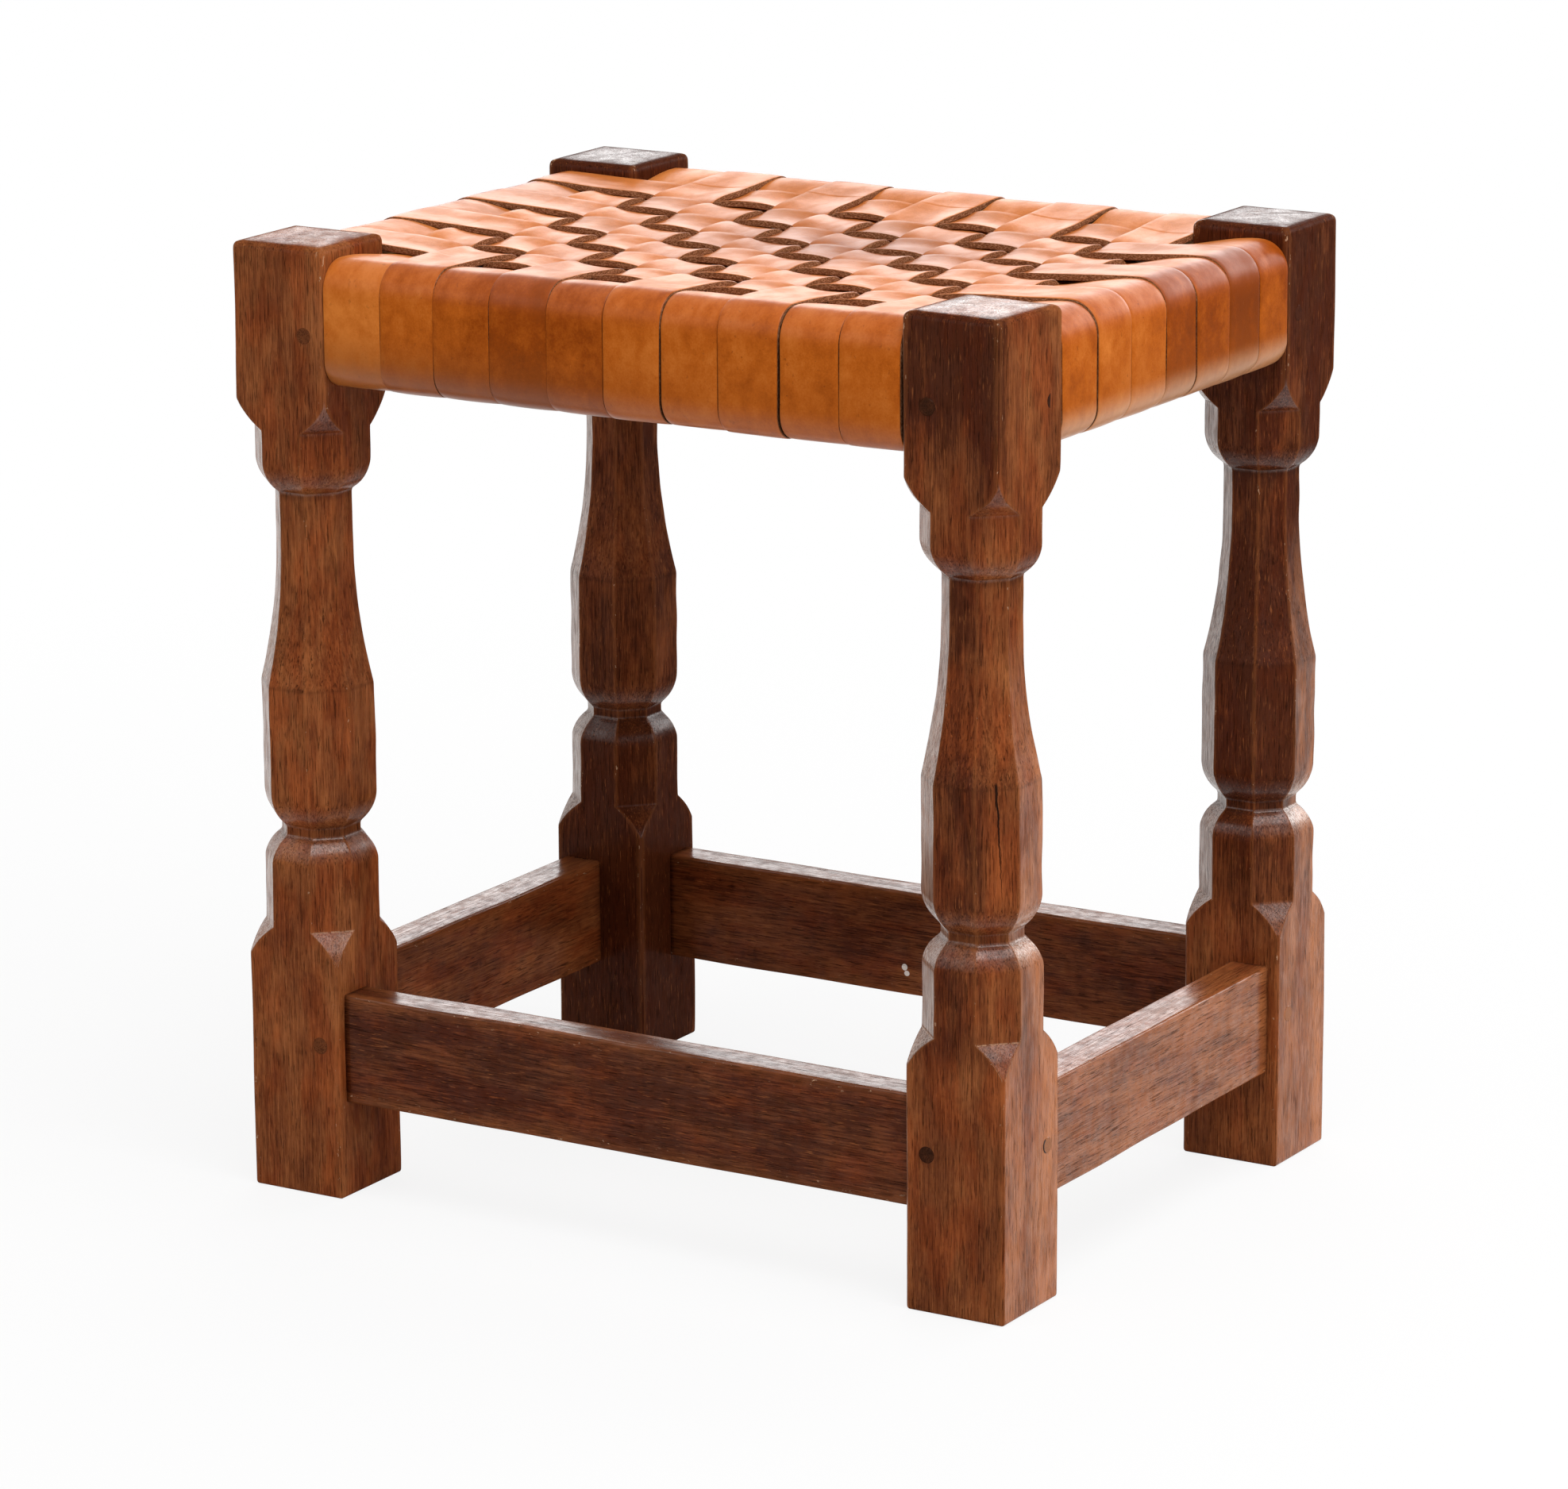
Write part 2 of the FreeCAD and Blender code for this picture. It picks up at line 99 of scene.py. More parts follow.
class Signal(Wrapped):
    """A number that changes over a surface, with Python's arithmetic on its socket."""

    def add_math(self, operation: str, *values: "Signal | float", clamp: bool = False) -> "Signal":
        """Adds one Math node.

        Args:
            operation: The node's operation.
            values: Its inputs in order.
            clamp: Whether the result is held between 0 and 1.

        Returns:
            The node's result.
        """
        settings = {"operation": operation, "use_clamp": clamp}
        node = self.shader.node("ShaderNodeMath", settings, dict(enumerate(values)))
        return Signal(self.shader, node.outputs[0])

    __add__ = math_method("ADD")
    __radd__ = math_method("ADD", reflected=True)
    __sub__ = math_method("SUBTRACT")
    __rsub__ = math_method("SUBTRACT", reflected=True)
    __mul__ = math_method("MULTIPLY")
    __rmul__ = math_method("MULTIPLY", reflected=True)
    __truediv__ = math_method("DIVIDE")
    __pow__ = math_method("POWER")
    __abs__ = math_method("ABSOLUTE")
    sine = math_method("SINE")
    at_most = math_method("MINIMUM")
    at_least = math_method("MAXIMUM")

    def clamped(self) -> "Signal":
        """The value held between 0 and 1."""
        return self.add_math("ADD", self, 0.0, clamp=True)

    def step(self, start: float, end: float) -> "Signal":
        """A soft step from 0 at start to 1 at end, which may be the lower of the two.

        Args:
            start: Where the step begins.
            end: Where it ends, above the start or below it.

        Returns:
            The step, between 0 and 1.
        """
        rising = start < end
        low, high, first, last = (start, end, 0.0, 1.0) if rising else (end, start, 1.0, 0.0)
        inputs = {0: self, 1: low, 2: high, 3: first, 4: last}
        node = self.shader.node("ShaderNodeMapRange", {"interpolation_type": "SMOOTHSTEP"}, inputs)
        return Signal(self.shader, node.outputs[0])


class Place(Wrapped):
    """A position on a piece, in millimetres, on a vector socket."""

    def add_vector(self, operation: str, amounts: Triple) -> "Place":
        """Adds one Vector Math node."""
        node = self.shader.node("ShaderNodeVectorMath", {"operation": operation}, {0: self, 1: amounts})
        return Place(self.shader, node.outputs[0])

    def scaled(self, x: float, y: float, z: float) -> "Place":
        """The position with each coordinate multiplied."""
        return self.add_vector("MULTIPLY", (x, y, z))

    def parts(self) -> tuple[Signal, Signal, Signal]:
        """The three coordinates."""
        node = self.shader.node("ShaderNodeSeparateXYZ", inputs={0: self})
        return tuple(Signal(self.shader, output) for output in node.outputs)

    def noise(self, swells: Triple, detail: float = 2.0, rough: float = 0.5,
              offset: Triple | None = None) -> Signal:
        """Soft noise between 0 and 1.

        Args:
            swells: How many swells there are to a millimetre, along X, Y and Z.
            detail: How many finer layers are added.
            rough: How strong the finer layers are.
            offset: Where another part of the pattern is taken from, in millimetres.

        Returns:
            The noise at the position.
        """
        at = self.add_vector("ADD", offset) if offset else self
        inputs = {"Vector": at.scaled(*swells), "Scale": 1.0, "Detail": detail, "Roughness": rough}
        return Signal(self.shader, self.shader.node("ShaderNodeTexNoise", inputs=inputs).outputs[0])

    def cells(self, each: float) -> Signal:
        """Distance to the nearest of scattered points, with that many to a millimetre each way."""
        inputs = {"Vector": self.scaled(each, each, each), "Scale": 1.0, "Randomness": 1.0}
        return Signal(self.shader, self.shader.node("ShaderNodeTexVoronoi", inputs=inputs).outputs[0])


class Tone(Wrapped):
    """A colour on a socket."""

    def toward(self, other: "Tone | RGB", factor: Signal | float) -> "Tone":
        """This colour mixed with another by a factor."""
        return self.shader.mix("MIX", self, other, factor)

    def darkened(self, other: "Tone | RGB", factor: Signal | float) -> "Tone":
        """This colour multiplied by another by a factor."""
        return self.shader.mix("MULTIPLY", self, other, factor)

    def layered(self, *layers: tuple["Tone | RGB", Signal | float]) -> "Tone":
        """This colour under layers of (colour, factor), each mixed in over the last.

        Args:
            layers: Colours with their factors, the lowest first.

        Returns:
            The colour with the layers on it.
        """
        tone = self
        for colour, factor in layers:
            tone = tone.toward(colour, factor)
        return tone


class Nodes:
    """Fills one node tree, from empty."""

    def __init__(self, tree: bpy.types.NodeTree) -> None:
        """Takes a tree and clears it."""
        self.tree = tree
        tree.nodes.clear()

    def node(self, kind: str, settings: dict | None = None, inputs: dict | None = None) -> bpy.types.Node:
        """Adds any node.

        Args:
            kind: The node's type.
            settings: Attributes that are set first. "stops" fills a ramp.
            inputs: Values, links or wrapped sockets by input name or number.

        Returns:
            The new node.
        """
        node = self.tree.nodes.new(kind)
        for key, value in (settings or {}).items():
            if key == "stops":
                self._fill_ramp(node.color_ramp, value)
            else:
                setattr(node, key, value)
        for key, value in (inputs or {}).items():
            self.feed(node.inputs[key], value)
        return node

    def feed(self, target: bpy.types.NodeSocket,
             value: "Wrapped | bpy.types.NodeSocket | Triple | float") -> None:
        """Links a wrapped or bare socket to an input, or sets the input's own value.

        Args:
            target: The input.
            value: A socket, a colour, a vector or a number.
        """
        if isinstance(value, Wrapped):
            value = value.socket
        if isinstance(value, bpy.types.NodeSocket):
            self.tree.links.new(value, target)
        elif target.type == "RGBA":
            target.default_value = (*value, 1.0)
        else:
            target.default_value = value

    @staticmethod
    def _fill_ramp(ramp: bpy.types.ColorRamp, stops: list[tuple[float, RGB]]) -> None:
        """Sets a ramp's stops from (position, colour) pairs.

        Args:
            ramp: The ramp of a node.
            stops: Positions from 0 to 1 with their colours.
        """
        while len(ramp.elements) < len(stops):
            ramp.elements.new(1.0)
        for element, (position, colour) in zip(ramp.elements, stops):
            element.position = position
            element.color = (*colour, 1.0)


class Shader(Nodes):
    """Builds one material node by node."""

    def __init__(self, name: str) -> None:
        """Starts a material with one Principled shader.

        Args:
            name: The material's name.
        """
        self.material = bpy.data.materials.new(name)
        self.material.use_nodes = True
        super().__init__(self.material.node_tree)
        self.surface = self.node("ShaderNodeBsdfPrincipled")
        self.out = self.node("ShaderNodeOutputMaterial", inputs={0: self.surface.outputs[0]})

    def mix(self, blend: str, a: "Tone | RGB", b: "Tone | RGB", factor: Signal | float) -> Tone:
        """Mixes two colours in one of the Mix node's ways."""
        settings = {"data_type": "RGBA", "blend_type": blend, "clamp_factor": True}
        return Tone(self, self.node("ShaderNodeMix", settings, {0: factor, 6: a, 7: b}).outputs[2])

    def ramp(self, factor: Signal, *stops: tuple[float, RGB]) -> Tone:
        """A colour that runs through stops as the factor goes from 0 to 1."""
        return Tone(self, self.node("ShaderNodeValToRGB", {"stops": stops}, {0: factor}).outputs[0])

    def object_place(self) -> Place:
        """The position in the stool's frame, in millimetres."""
        return Place(self, self.node("ShaderNodeTexCoord").outputs["Object"]).scaled(1 / MM, 1 / MM, 1 / MM)

    def attribute(self, name: str) -> Signal:
        """A number that the mesh carries at each vertex."""
        return Signal(self, self.node("ShaderNodeAttribute", {"attribute_name": name}).outputs["Fac"])

    def attribute_place(self, name: str) -> Place:
        """A position that the mesh carries at each vertex."""
        return Place(self, self.node("ShaderNodeAttribute", {"attribute_name": name}).outputs["Vector"])

    def bump(self, height: Signal, depth: float) -> None:
        """Raises the surface by a height, in units of depth metres."""
        inputs = {"Height": height, "Distance": depth, "Strength": 1.0}
        self.feed(self.surface.inputs["Normal"], self.node("ShaderNodeBump", inputs=inputs).outputs[0])

    def finish(self, **inputs: "Tone | Signal | RGB | float") -> bpy.types.Material:
        """Feeds the shader's inputs, named with _ for a space, and gives the material.

        Args:
            inputs: Values or wrapped sockets by input name.

        Returns:
            The finished material.
        """
        for key, value in inputs.items():
            self.feed(self.surface.inputs[key.replace("_", " ")], value)
        return self.material


# Finishes


def srgb(red: int, green: int, blue: int) -> RGB:
    """A colour as the eye reads it from 0 to 255, turned into linear light by the sRGB curve."""
    shares = (channel / 255 for channel in (red, green, blue))
    return tuple(c / 12.92 if c <= 0.04045 else ((c + 0.055) / 1.055) ** 2.4 for c in shares)


@dataclass(frozen=True)
class OakFinish:
    """Dark oiled oak: growth rings, pores, ray flecks, dirt with painted shade in hollows, worn arrises.

    The heart points to the darker side of a leg, by its length in tone. Heart run and the tone shifts hold
    one number for the foot, the lower block, the waist, the upper block and the head; where they darken the
    back legs and the stretchers they are partly painted shade under the seat.
    """

    name: str
    grain: Axis = Axis.Z
    centre: Triple = (0.0, 0.0, 0.0)
    seed: float = 0.0
    pith: tuple[float, float] = (31.0, 17.0)
    ring: float = 2.7
    shade: RGB = srgb(74, 35, 18)
    body: RGB = srgb(120, 65, 34)
    glow: RGB = srgb(158, 94, 52)
    ruddy: RGB = (1.0, 0.74, 0.60)
    smudged: RGB = (0.5, 0.45, 0.42)
    pore: RGB = srgb(40, 19, 10)
    rubbed_and_sheen: RGB = srgb(188, 116, 70)
    bloom_and_sheen: RGB = srgb(200, 172, 152)
    bruised: RGB = srgb(204, 160, 126)
    cracked: RGB = srgb(22, 10, 5)
    chipped: RGB = srgb(236, 228, 220)
    heart: tuple[float, float] = (0.0, 0.0)
    heart_run: LegParts = (1.0,) * 5
    stain_and_shade: LegParts = (0.0,) * 5
    part_steps: tuple[tuple[float, float], ...] = (
        (104.0, 118.0), (156.0, 168.0), (300.0, 322.0), (348.0, 390.0))
    seed_shift: Triple = (13.7, 7.1, 91.0)
    relief: float = 0.00026
    worn: bool = True
    red: float = 0.75
    crack: bool = False
    chip: bool = False

    def material(self) -> bpy.types.Material:
        """Builds the finish.

        Noise drawn out along the grain gives fibres, pores where the rings are porous, and short pale
        flecks. Slower noise gives the colour's clouds and ruddy patches. The coat of wax is as thick as the
        mesh says, and thinner over pores. Where it is thickest, mostly on the facets that face front and
        left, a pale painted sheen lies on the colour, as of wax gone pale. Faces worn paler, partly as a
        painted sheen, are paler still where they lie to the back.

        Returns:
            The finished material.
        """
        shader = Shader(self.name)
        place = shader.object_place()
        wood = self._turned(shader, place)
        ring = self._rings(wood)
        streak = wood.noise((0.62, 0.62, 0.030), 4.0, 0.62)
        fibre = wood.noise((1.6, 1.6, 0.065), 4.0, 0.66)
        fine = wood.noise((1.9, 1.9, 0.11), 3.0, 0.62, (5.0, 2.0, 0.0))
        pores = fine.step(0.55, 0.66) * (ring * 0.55 + 0.45)
        fleck = wood.noise((1.5, 1.5, 0.14), 3.0, 0.55, (31.0, 5.0, 9.0)).step(0.60, 0.72)
        cloud = wood.noise((0.055, 0.055, 0.021), 3.0, 0.55)
        blotch = wood.noise((0.10, 0.10, 0.060), 5.0, 0.68, (41.0, 17.0, 5.0))
        level = cloud * 1.1 + streak * 0.72 + fibre * 0.95 + blotch * 0.75 + ring * 0.08 - 1.29
        if self.worn:
            # Tone shifts by part; their darkness on the back legs and stretchers is partly painted shade
            # under the seat.
            level = level + self._along(place, self.stain_and_shade) - self._heart(place)
        tone = shader.ramp(level, (0.02, self.shade), (0.5, self.body), (0.98, self.glow))
        tone = tone.layered((self.glow, fleck * 0.45), (self.pore, pores * 0.68))
        if not self.worn:
            shader.bump(fibre * 0.5 - pores * 1.0, self.relief)
            return shader.finish(Base_Color=tone, Roughness=0.55 + pores * 0.2, Specular_IOR_Level=0.1)
        grime_and_shade, arris, chipped, coat, rub_and_sheen = (
            shader.attribute(name) for name in ("grime_and_shade", "arris", "chipped", "wax", "rub_and_sheen"))
        hue = wood.noise((0.07, 0.07, 0.025), 3.0, 0.55, (71.0, 15.0, 3.0)).step(0.42, 0.62)
        smudge = place.noise((0.13, 0.13, 0.09), 5.0, 0.65, (9.0, 4.0, 7.0)).step(0.55, 0.72)
        tone = tone.darkened(self.ruddy, hue * self.red).darkened(self.smudged, smudge * 0.5)
        bare = wood.noise((0.10, 0.10, 0.020), 4.0, 0.6, (13.0, 55.0, 21.0)).step(0.38, 0.62) * 0.6
        if self.grain is Axis.Z:
            bare = bare + (place.parts()[1] - self.centre[1]).step(-4.0, 18.0) * 0.5
        # Painted sheen, as of pale wax, where the wax is thickest: mostly on the facets that face front and
        # left.
        bloom_sheen_mask = (coat - 0.62).clamped() * 2.4 * (0.12 + fibre.step(0.40, 0.60) * 0.55)
        flaw = place.noise((0.7, 0.7, 0.7), 3.0, 0.6).step(0.40, 0.52)
        nick = wood.noise((0.60, 0.60, 0.25), 3.0, 0.6, (3.0, 8.0, 1.0))
        nick = nick + place.parts()[2].step(404.0, 414.0) * 0.06
        bruise = (arris * nick.step(0.66, 0.71)).at_least(chipped.step(0.45, 0.95) * flaw).clamped()
        tone = tone.layered(
            # Paler wear, partly a painted sheen on the right legs' low outer sides and on the front-left
            # facets.
            (self.rubbed_and_sheen, rub_and_sheen * (0.12 + bare * 0.75) * (1.0 - pores * 0.5)),
            # Pale painted sheen where the wax is thickest.
            (self.bloom_and_sheen, bloom_sheen_mask * (1.0 - pores * 0.6)),
            # Dirt and painted shade in the hollows and by the legs.
            (self.pore, grime_and_shade * 0.45),
            (self.glow, arris * 0.20),
            (self.bruised, bruise * 0.75))
        height = fibre * 0.45 - pores * 1.0 + ring * 0.10 + streak * 0.5 - bruise * 0.9
        if self.crack:
            split = self._crack(place)
            tone = tone.toward(self.cracked, split * 0.92)
            height = height - split * 6.0
        if self.chip:
            tone = tone.toward(self.chipped, self._chip(place))
        smear = place.noise((0.16, 0.16, 0.09), 4.0, 0.65, (17.0, 3.0, 29.0)).step(0.36, 0.62)
        wax = coat * (0.62 + smear * 0.4) * (0.72 + streak * 0.5) * (0.60 + fibre.step(0.32, 0.68) * 0.8)
        shader.bump(height, self.relief)
        return shader.finish(
            Base_Color=tone, Roughness=0.33 + pores * 0.22 + cloud * 0.10 + grime_and_shade * 0.15,
            Coat_Weight=(wax * (1.0 - pores * 0.75)).clamped(),
            Specular_IOR_Level=0.0, Coat_Roughness=0.22, Coat_IOR=1.80)

    def _turned(self, shader: Shader, place: Place) -> Place:
        """The position with the grain turned upright about the piece's centre, in wood of the piece's own.

        Args:
            shader: The shader that is being built.
            place: The position on the piece.

        Returns:
            The position in the wood.
        """
        turn = Euler(self.grain.value)
        start = Vector([self.seed * shift for shift in self.seed_shift])
        offset = start - turn.to_matrix() @ Vector(self.centre)
        inputs = {"Vector": place, "Location": offset, "Rotation": turn}
        return Place(shader, shader.node("ShaderNodeMapping", {"vector_type": "POINT"}, inputs).outputs[0])

    def _rings(self, wood: Place) -> Signal:
        """Growth rings: a sine of the distance from the pith, which slow drifts bend.

        Args:
            wood: The position in the wood.

        Returns:
            The rings, between 0 and 1.
        """
        drift = wood.noise((0.035, 0.035, 0.006))
        x, y, _ = wood.parts()
        x0, y0 = (self.seed * shift - pith for shift, pith in zip(self.seed_shift, self.pith))
        away = (((x - x0) ** 2.0) + ((y - y0) ** 2.0)) ** 0.5 + drift * 26.0
        return (away * (2 * math.pi / self.ring)).sine() * 0.5 + 0.5

    def _along(self, place: Place, values: LegParts) -> Signal | float:
        """A number for each part of a leg, from the foot up, with soft steps between them.

        Args:
            place: The position on the piece.
            values: The numbers, from the foot to the head.

        Returns:
            The number at that height.
        """
        z = place.parts()[2]
        total = values[0]
        for (low, high), before, after in zip(self.part_steps, values, values[1:]):
            if after != before:
                total = total + z.step(low, high) * (after - before)
        return total

    def _heart(self, place: Place) -> Signal | float:
        """How much darker the tone is towards the heart's side, with a ragged edge that follows the grain.

        Args:
            place: The position on the piece.

        Returns:
            What to take off the tone.
        """
        size = math.hypot(*self.heart)
        if size == 0.0:
            return 0.0
        x, y, z = place.parts()
        slim = z.step(226.0, 285.0) * z.step(318.0, 310.0) * 7.0
        toward = ((x - self.centre[0]) * self.heart[0] + (y - self.centre[1]) * self.heart[1]) / size
        ragged = (place.noise((0.16, 0.16, 0.02), 3.0, 0.6) - 0.5) * 14.0
        return (toward + slim + ragged).step(17.0, 24.0) * self._along(place, self.heart_run) * size

    @staticmethod
    def _crack(place: Place) -> Signal:
        """A drying crack down the waist's facet that faces front and right: a wandering line that tapers out.

        From the leg's middle, x + y over the root of two is the place along the facet, and x - y over it
        the way out. The line wanders by a noise that changes with height alone, and its width grows with
        height.

        Args:
            place: The position on the piece.

        Returns:
            Is 1 in the crack.
        """
        x, y, z = place.parts()
        half_root = math.sqrt(0.5)
        low, top = 176.0, 229.0
        along = (x + y) * half_root - (LEG_X - LEG_Y) * half_root
        out = (x - y) * half_root - (LEG_X + LEG_Y) * half_root
        wander = place.noise((0.0, 0.0, 0.11), 3.0, 0.6) * 3.4
        off = abs(along - wander + 1.4 + (z - 205.0) * 0.055)
        width = (z - low) * 0.0115
        line = 1.0 - (off / width.at_least(0.02)).step(0.55, 1.0)
        return line * z.step(low, low + 4.0) * z.step(top, top - 2.0) * out.step(12.0, 14.0)

    @staticmethod
    def _chip(place: Place) -> Signal:
        """Two small oval chips that show pale under the stain, on the inner face of the back stretcher.

        Args:
            place: The position on the piece.

        Returns:
            Is 1 on the chips.
        """
        x, y, z = place.parts()
        upper, lower = (
            (((x - x0) / wide) ** 2.0 + ((z - z0) / high) ** 2.0) ** 0.5
            for x0, wide, z0, high in ((-15.2, 1.5, 56.2, 1.6), (-14.0, 1.4, 53.4, 1.3)))
        return upper.at_most(lower).step(1.05, 0.9) * y.step(124.6, 124.4)


@dataclass(frozen=True)
class PegFinish:
    """The end grain of an oak peg: as dark as the wood round it, with small pores.

    The peg low on the right face of the front right leg is worn pale, partly as a painted sheen, with a dark
    gap round its front half.
    """

    name: str
    dark: RGB
    light: RGB
    pore: RGB = srgb(48, 20, 8)
    rubbed_and_sheen: RGB = srgb(196, 122, 70)
    gap: RGB = srgb(40, 18, 8)
    low_peg: tuple[float, float] = (-109.5, 68.65)

    def material(self) -> bpy.types.Material:
        """Builds the finish from noise that has no direction.

        Returns:
            The finished material.
        """
        shader = Shader(self.name)
        place = shader.object_place()
        cloud = place.noise((0.35, 0.35, 0.35), 3.0)
        pores = place.noise((2.6, 2.6, 2.6), 3.0, 0.6).step(0.5, 0.68)
        x, y, z = place.parts()
        # Pale wear low on the right faces, partly a painted sheen.
        pale = x.step(186.0, 187.0) * z.step(290.0, 215.0)
        away = ((y - self.low_peg[0]) ** 2.0 + (z - self.low_peg[1]) ** 2.0) ** 0.5
        tone = shader.ramp(cloud, (0.25, self.dark), (0.75, self.light)).layered(
            (self.pore, pores * 0.5),
            (self.rubbed_and_sheen, pale * 0.6),
            (self.gap, pale * away.step(2.7, 3.2) * y.step(-110.5, -111.8)))
        shader.bump(pores * -1.0, 0.0002)
        return shader.finish(
            Base_Color=tone, Roughness=0.42 + pores * 0.2, Coat_Weight=0.08 + pale * 0.55,
            Specular_IOR_Level=0.0, Coat_Roughness=0.25, Coat_IOR=1.42)


@dataclass(frozen=True)
class LeatherFinish:
    """Tan saddle leather, burnished on its face, with raw brown edges and a rough flesh side."""

    name: str = "saddle_leather"
    pale: RGB = srgb(208, 120, 50)
    tan: RGB = srgb(180, 91, 25)
    deep: RGB = srgb(140, 63, 13)
    dark: RGB = srgb(122, 55, 14)
    sunned_and_lit: RGB = srgb(234, 146, 80)
    shoulder: RGB = srgb(180, 84, 26)
    band: RGB = srgb(150, 78, 28)
    greyed: RGB = srgb(112, 66, 38)
    painted_floor_sheen: RGB = srgb(222, 168, 118)
    dirt: RGB = srgb(84, 40, 18)
    soiled: RGB = srgb(112, 62, 46)
    edge: tuple[RGB, RGB, RGB] = (srgb(56, 31, 18), srgb(136, 88, 58), srgb(206, 158, 120))
    edge_line: RGB = srgb(62, 32, 18)
    seam: RGB = srgb(38, 16, 7)
    flesh: tuple[RGB, RGB] = (srgb(118, 74, 44), srgb(158, 104, 62))

    def material(self) -> bpy.types.Material:
        """Builds the finish on the strap's own coordinates: along it, across it and through it.

        The seat's inside is paler, partly from sun and partly as painted light on the top, and waxed. The
        band round the rails is deeper in tone and greyed low on the front's left, and low on the right side
        its lower round carries a pale painted sheen of the floor. Spots, specks, scuffs and the soil of hands
        lie over that, and the cut edges and the flesh side cover it all.

        Returns:
            The finished material.
        """
        shader = Shader(self.name)
        strap = shader.attribute_place("strap")
        tint, cut, flesh, handled, dive_wear_and_shade = (
            shader.attribute(name) for name in ("tint", "cut", "flesh", "handled", "dive_wear_and_shade"))
        cloud = strap.noise((0.050, 0.075, 0.05), 3.0, 0.55)
        mottle = strap.noise((0.22, 0.22, 0.2), 4.0, 0.6, (7.0, 3.0, 0.0))
        grit = strap.noise((1.1, 1.1, 1.1), 3.0, 0.6, (2.0, 5.0, 8.0))
        spots = strap.noise((0.33, 0.40, 0.3), 3.0, 0.6, (1.0, 9.0, 4.0)).step(0.64, 0.74)
        scuff = strap.noise((0.28, 1.4, 0.3), 4.0, 0.65, (11.0, 2.0, 0.0)).step(0.66, 0.78)
        specks = strap.noise((0.75, 0.75, 0.6), 2.0, 0.5, (5.0, 1.0, 2.0)).step(0.72, 0.78)
        fibre = strap.noise((0.9, 0.9, 3.2), 4.0, 0.65)
        x, y, z = shader.object_place().parts()
        inside = abs(y).step(137.0, 130.0) * abs(x).step(180.0, 173.0) * z.step(398.0, 402.0)
        level = cloud * 0.8 + mottle * 0.45 + grit * 0.35 + tint * (1.0 - inside * 0.5) - 0.3
        edge = shader.ramp(fibre, *zip((0.28, 0.50, 0.72), self.edge))
        suede = shader.ramp(strap.noise((0.5, 0.5, 0.5), 5.0, 0.7), *zip((0.3, 0.7), self.flesh))
        tone = shader.ramp(level, (0.0, self.dark), (0.2, self.deep), (0.5, self.tan), (0.88, self.pale))
        tone = tone.layered(
            (self.dirt, spots * 0.35),
            (self.pale, scuff * 0.5),
            # Paler inside the seat: partly sun, partly painted light on the top.
            (self.sunned_and_lit, inside * 0.42),
            (self.shoulder, z.step(394.0, 407.0) * (1.0 - inside) * 0.22),
            (self.band, z.step(400.0, 368.0) * 0.35),
            (self.greyed, z.step(388.0, 366.0) * x.step(60.0, -90.0) * (0.15 + mottle * 0.6)),
            # Painted sheen: the floor's reflection on the lower round of the right side.
            (self.painted_floor_sheen, z.step(378.0, 365.0) * x.step(172.0, 183.0) * (0.25 + mottle * 0.4)),
            (self.dirt, specks * 0.55),
            # Painted shade, with some wear, where a strap dives under its neighbour.
            (self.deep, dive_wear_and_shade * 0.46),
            (self.soiled, handled * (0.26 + mottle * 0.6)),
            (suede, flesh),
            (edge, cut.step(0.3, 0.7)),
            (self.edge_line, cut * (1.0 - cut) * 2.0),
            (self.seam, cut * z.step(405.0, 397.0) * 0.7))
        raw = cut.at_least(flesh)
        rough = 0.32 + mottle * 0.16 + spots * 0.1
        wax = z.step(401.0, 412.0) * (0.02 + mottle * 0.38 + cloud.step(0.38, 0.62) * 0.26)
        wax = wax + z.step(400.0, 410.0) * (1.0 - inside) * 0.20 + z.step(376.0, 365.0) * 0.85
        shader.bump(strap.cells(1.9) * 0.22 + mottle * 0.9 - scuff * 0.3 + (fibre * 2.4) * cut, 0.00016)
        return shader.finish(
            Base_Color=tone, Roughness=rough + (0.82 - rough) * raw,
            Coat_Weight=(wax * (1.0 - raw).clamped()).clamped(),
            Specular_IOR_Level=0.008, Coat_Roughness=0.34, Coat_IOR=1.42)


@dataclass(frozen=True)
class IronFinish:
    """Blackened iron with a little rust."""

    name: str = "iron_nail"
    dark: RGB = srgb(38, 36, 35)
    light: RGB = srgb(72, 68, 65)
    rusted: RGB = srgb(92, 52, 32)

    def material(self) -> bpy.types.Material:
        """Builds the finish from fine noise: rust where it is high.

        Returns:
            The finished material.
        """
        shader = Shader(self.name)
        place = shader.object_place()
        rust = place.noise((0.9, 0.9, 0.9), 4.0, 0.65).step(0.48, 0.66)
        tone = shader.ramp(place.noise((2.0, 2.0, 2.0)), (0.3, self.dark), (0.7, self.light))
        shader.bump(rust, 0.00012)
        return shader.finish(
            Base_Color=tone.toward(self.rusted, rust * 0.7), Roughness=0.42 + rust * 0.35,
            Metallic=0.9 - rust * 0.8)


# Meshes


def wobble(points: np.ndarray, seed: int, wave: float, stretch: Triple = (1, 1, 1)) -> np.ndarray:
    """Smooth unevenness between about -1 and 1: the mean of sines in many directions.

    Args:
        points: Positions in millimetres, in an array that ends in 3.
        seed: Picks the directions.
        wave: The length of a swell in millimetres.
        stretch: Shares of the wave number along X, Y and Z.

    Returns:
        One value for each position.
    """
    count = 14
    rng = np.random.default_rng(seed)
    directions = rng.normal(size=(count, 3))
    directions /= np.linalg.norm(directions, axis=1)[:, None]
    directions *= np.asarray(stretch) * rng.uniform(0.6, 1.6, size=(count, 1)) * 2 * math.pi / wave
    phases = rng.uniform(0, 2 * math.pi, count)
    return np.sin(points @ directions.T + phases).sum(axis=-1) / math.sqrt(count / 2) / 1.6


def hill(values: np.ndarray, middle: float, width: float) -> np.ndarray:
    """A bell, 1 at the middle and 1/e at the width: e to the power of minus (distance / width) squared."""
    return np.exp(-((values - middle) / width) ** 2)


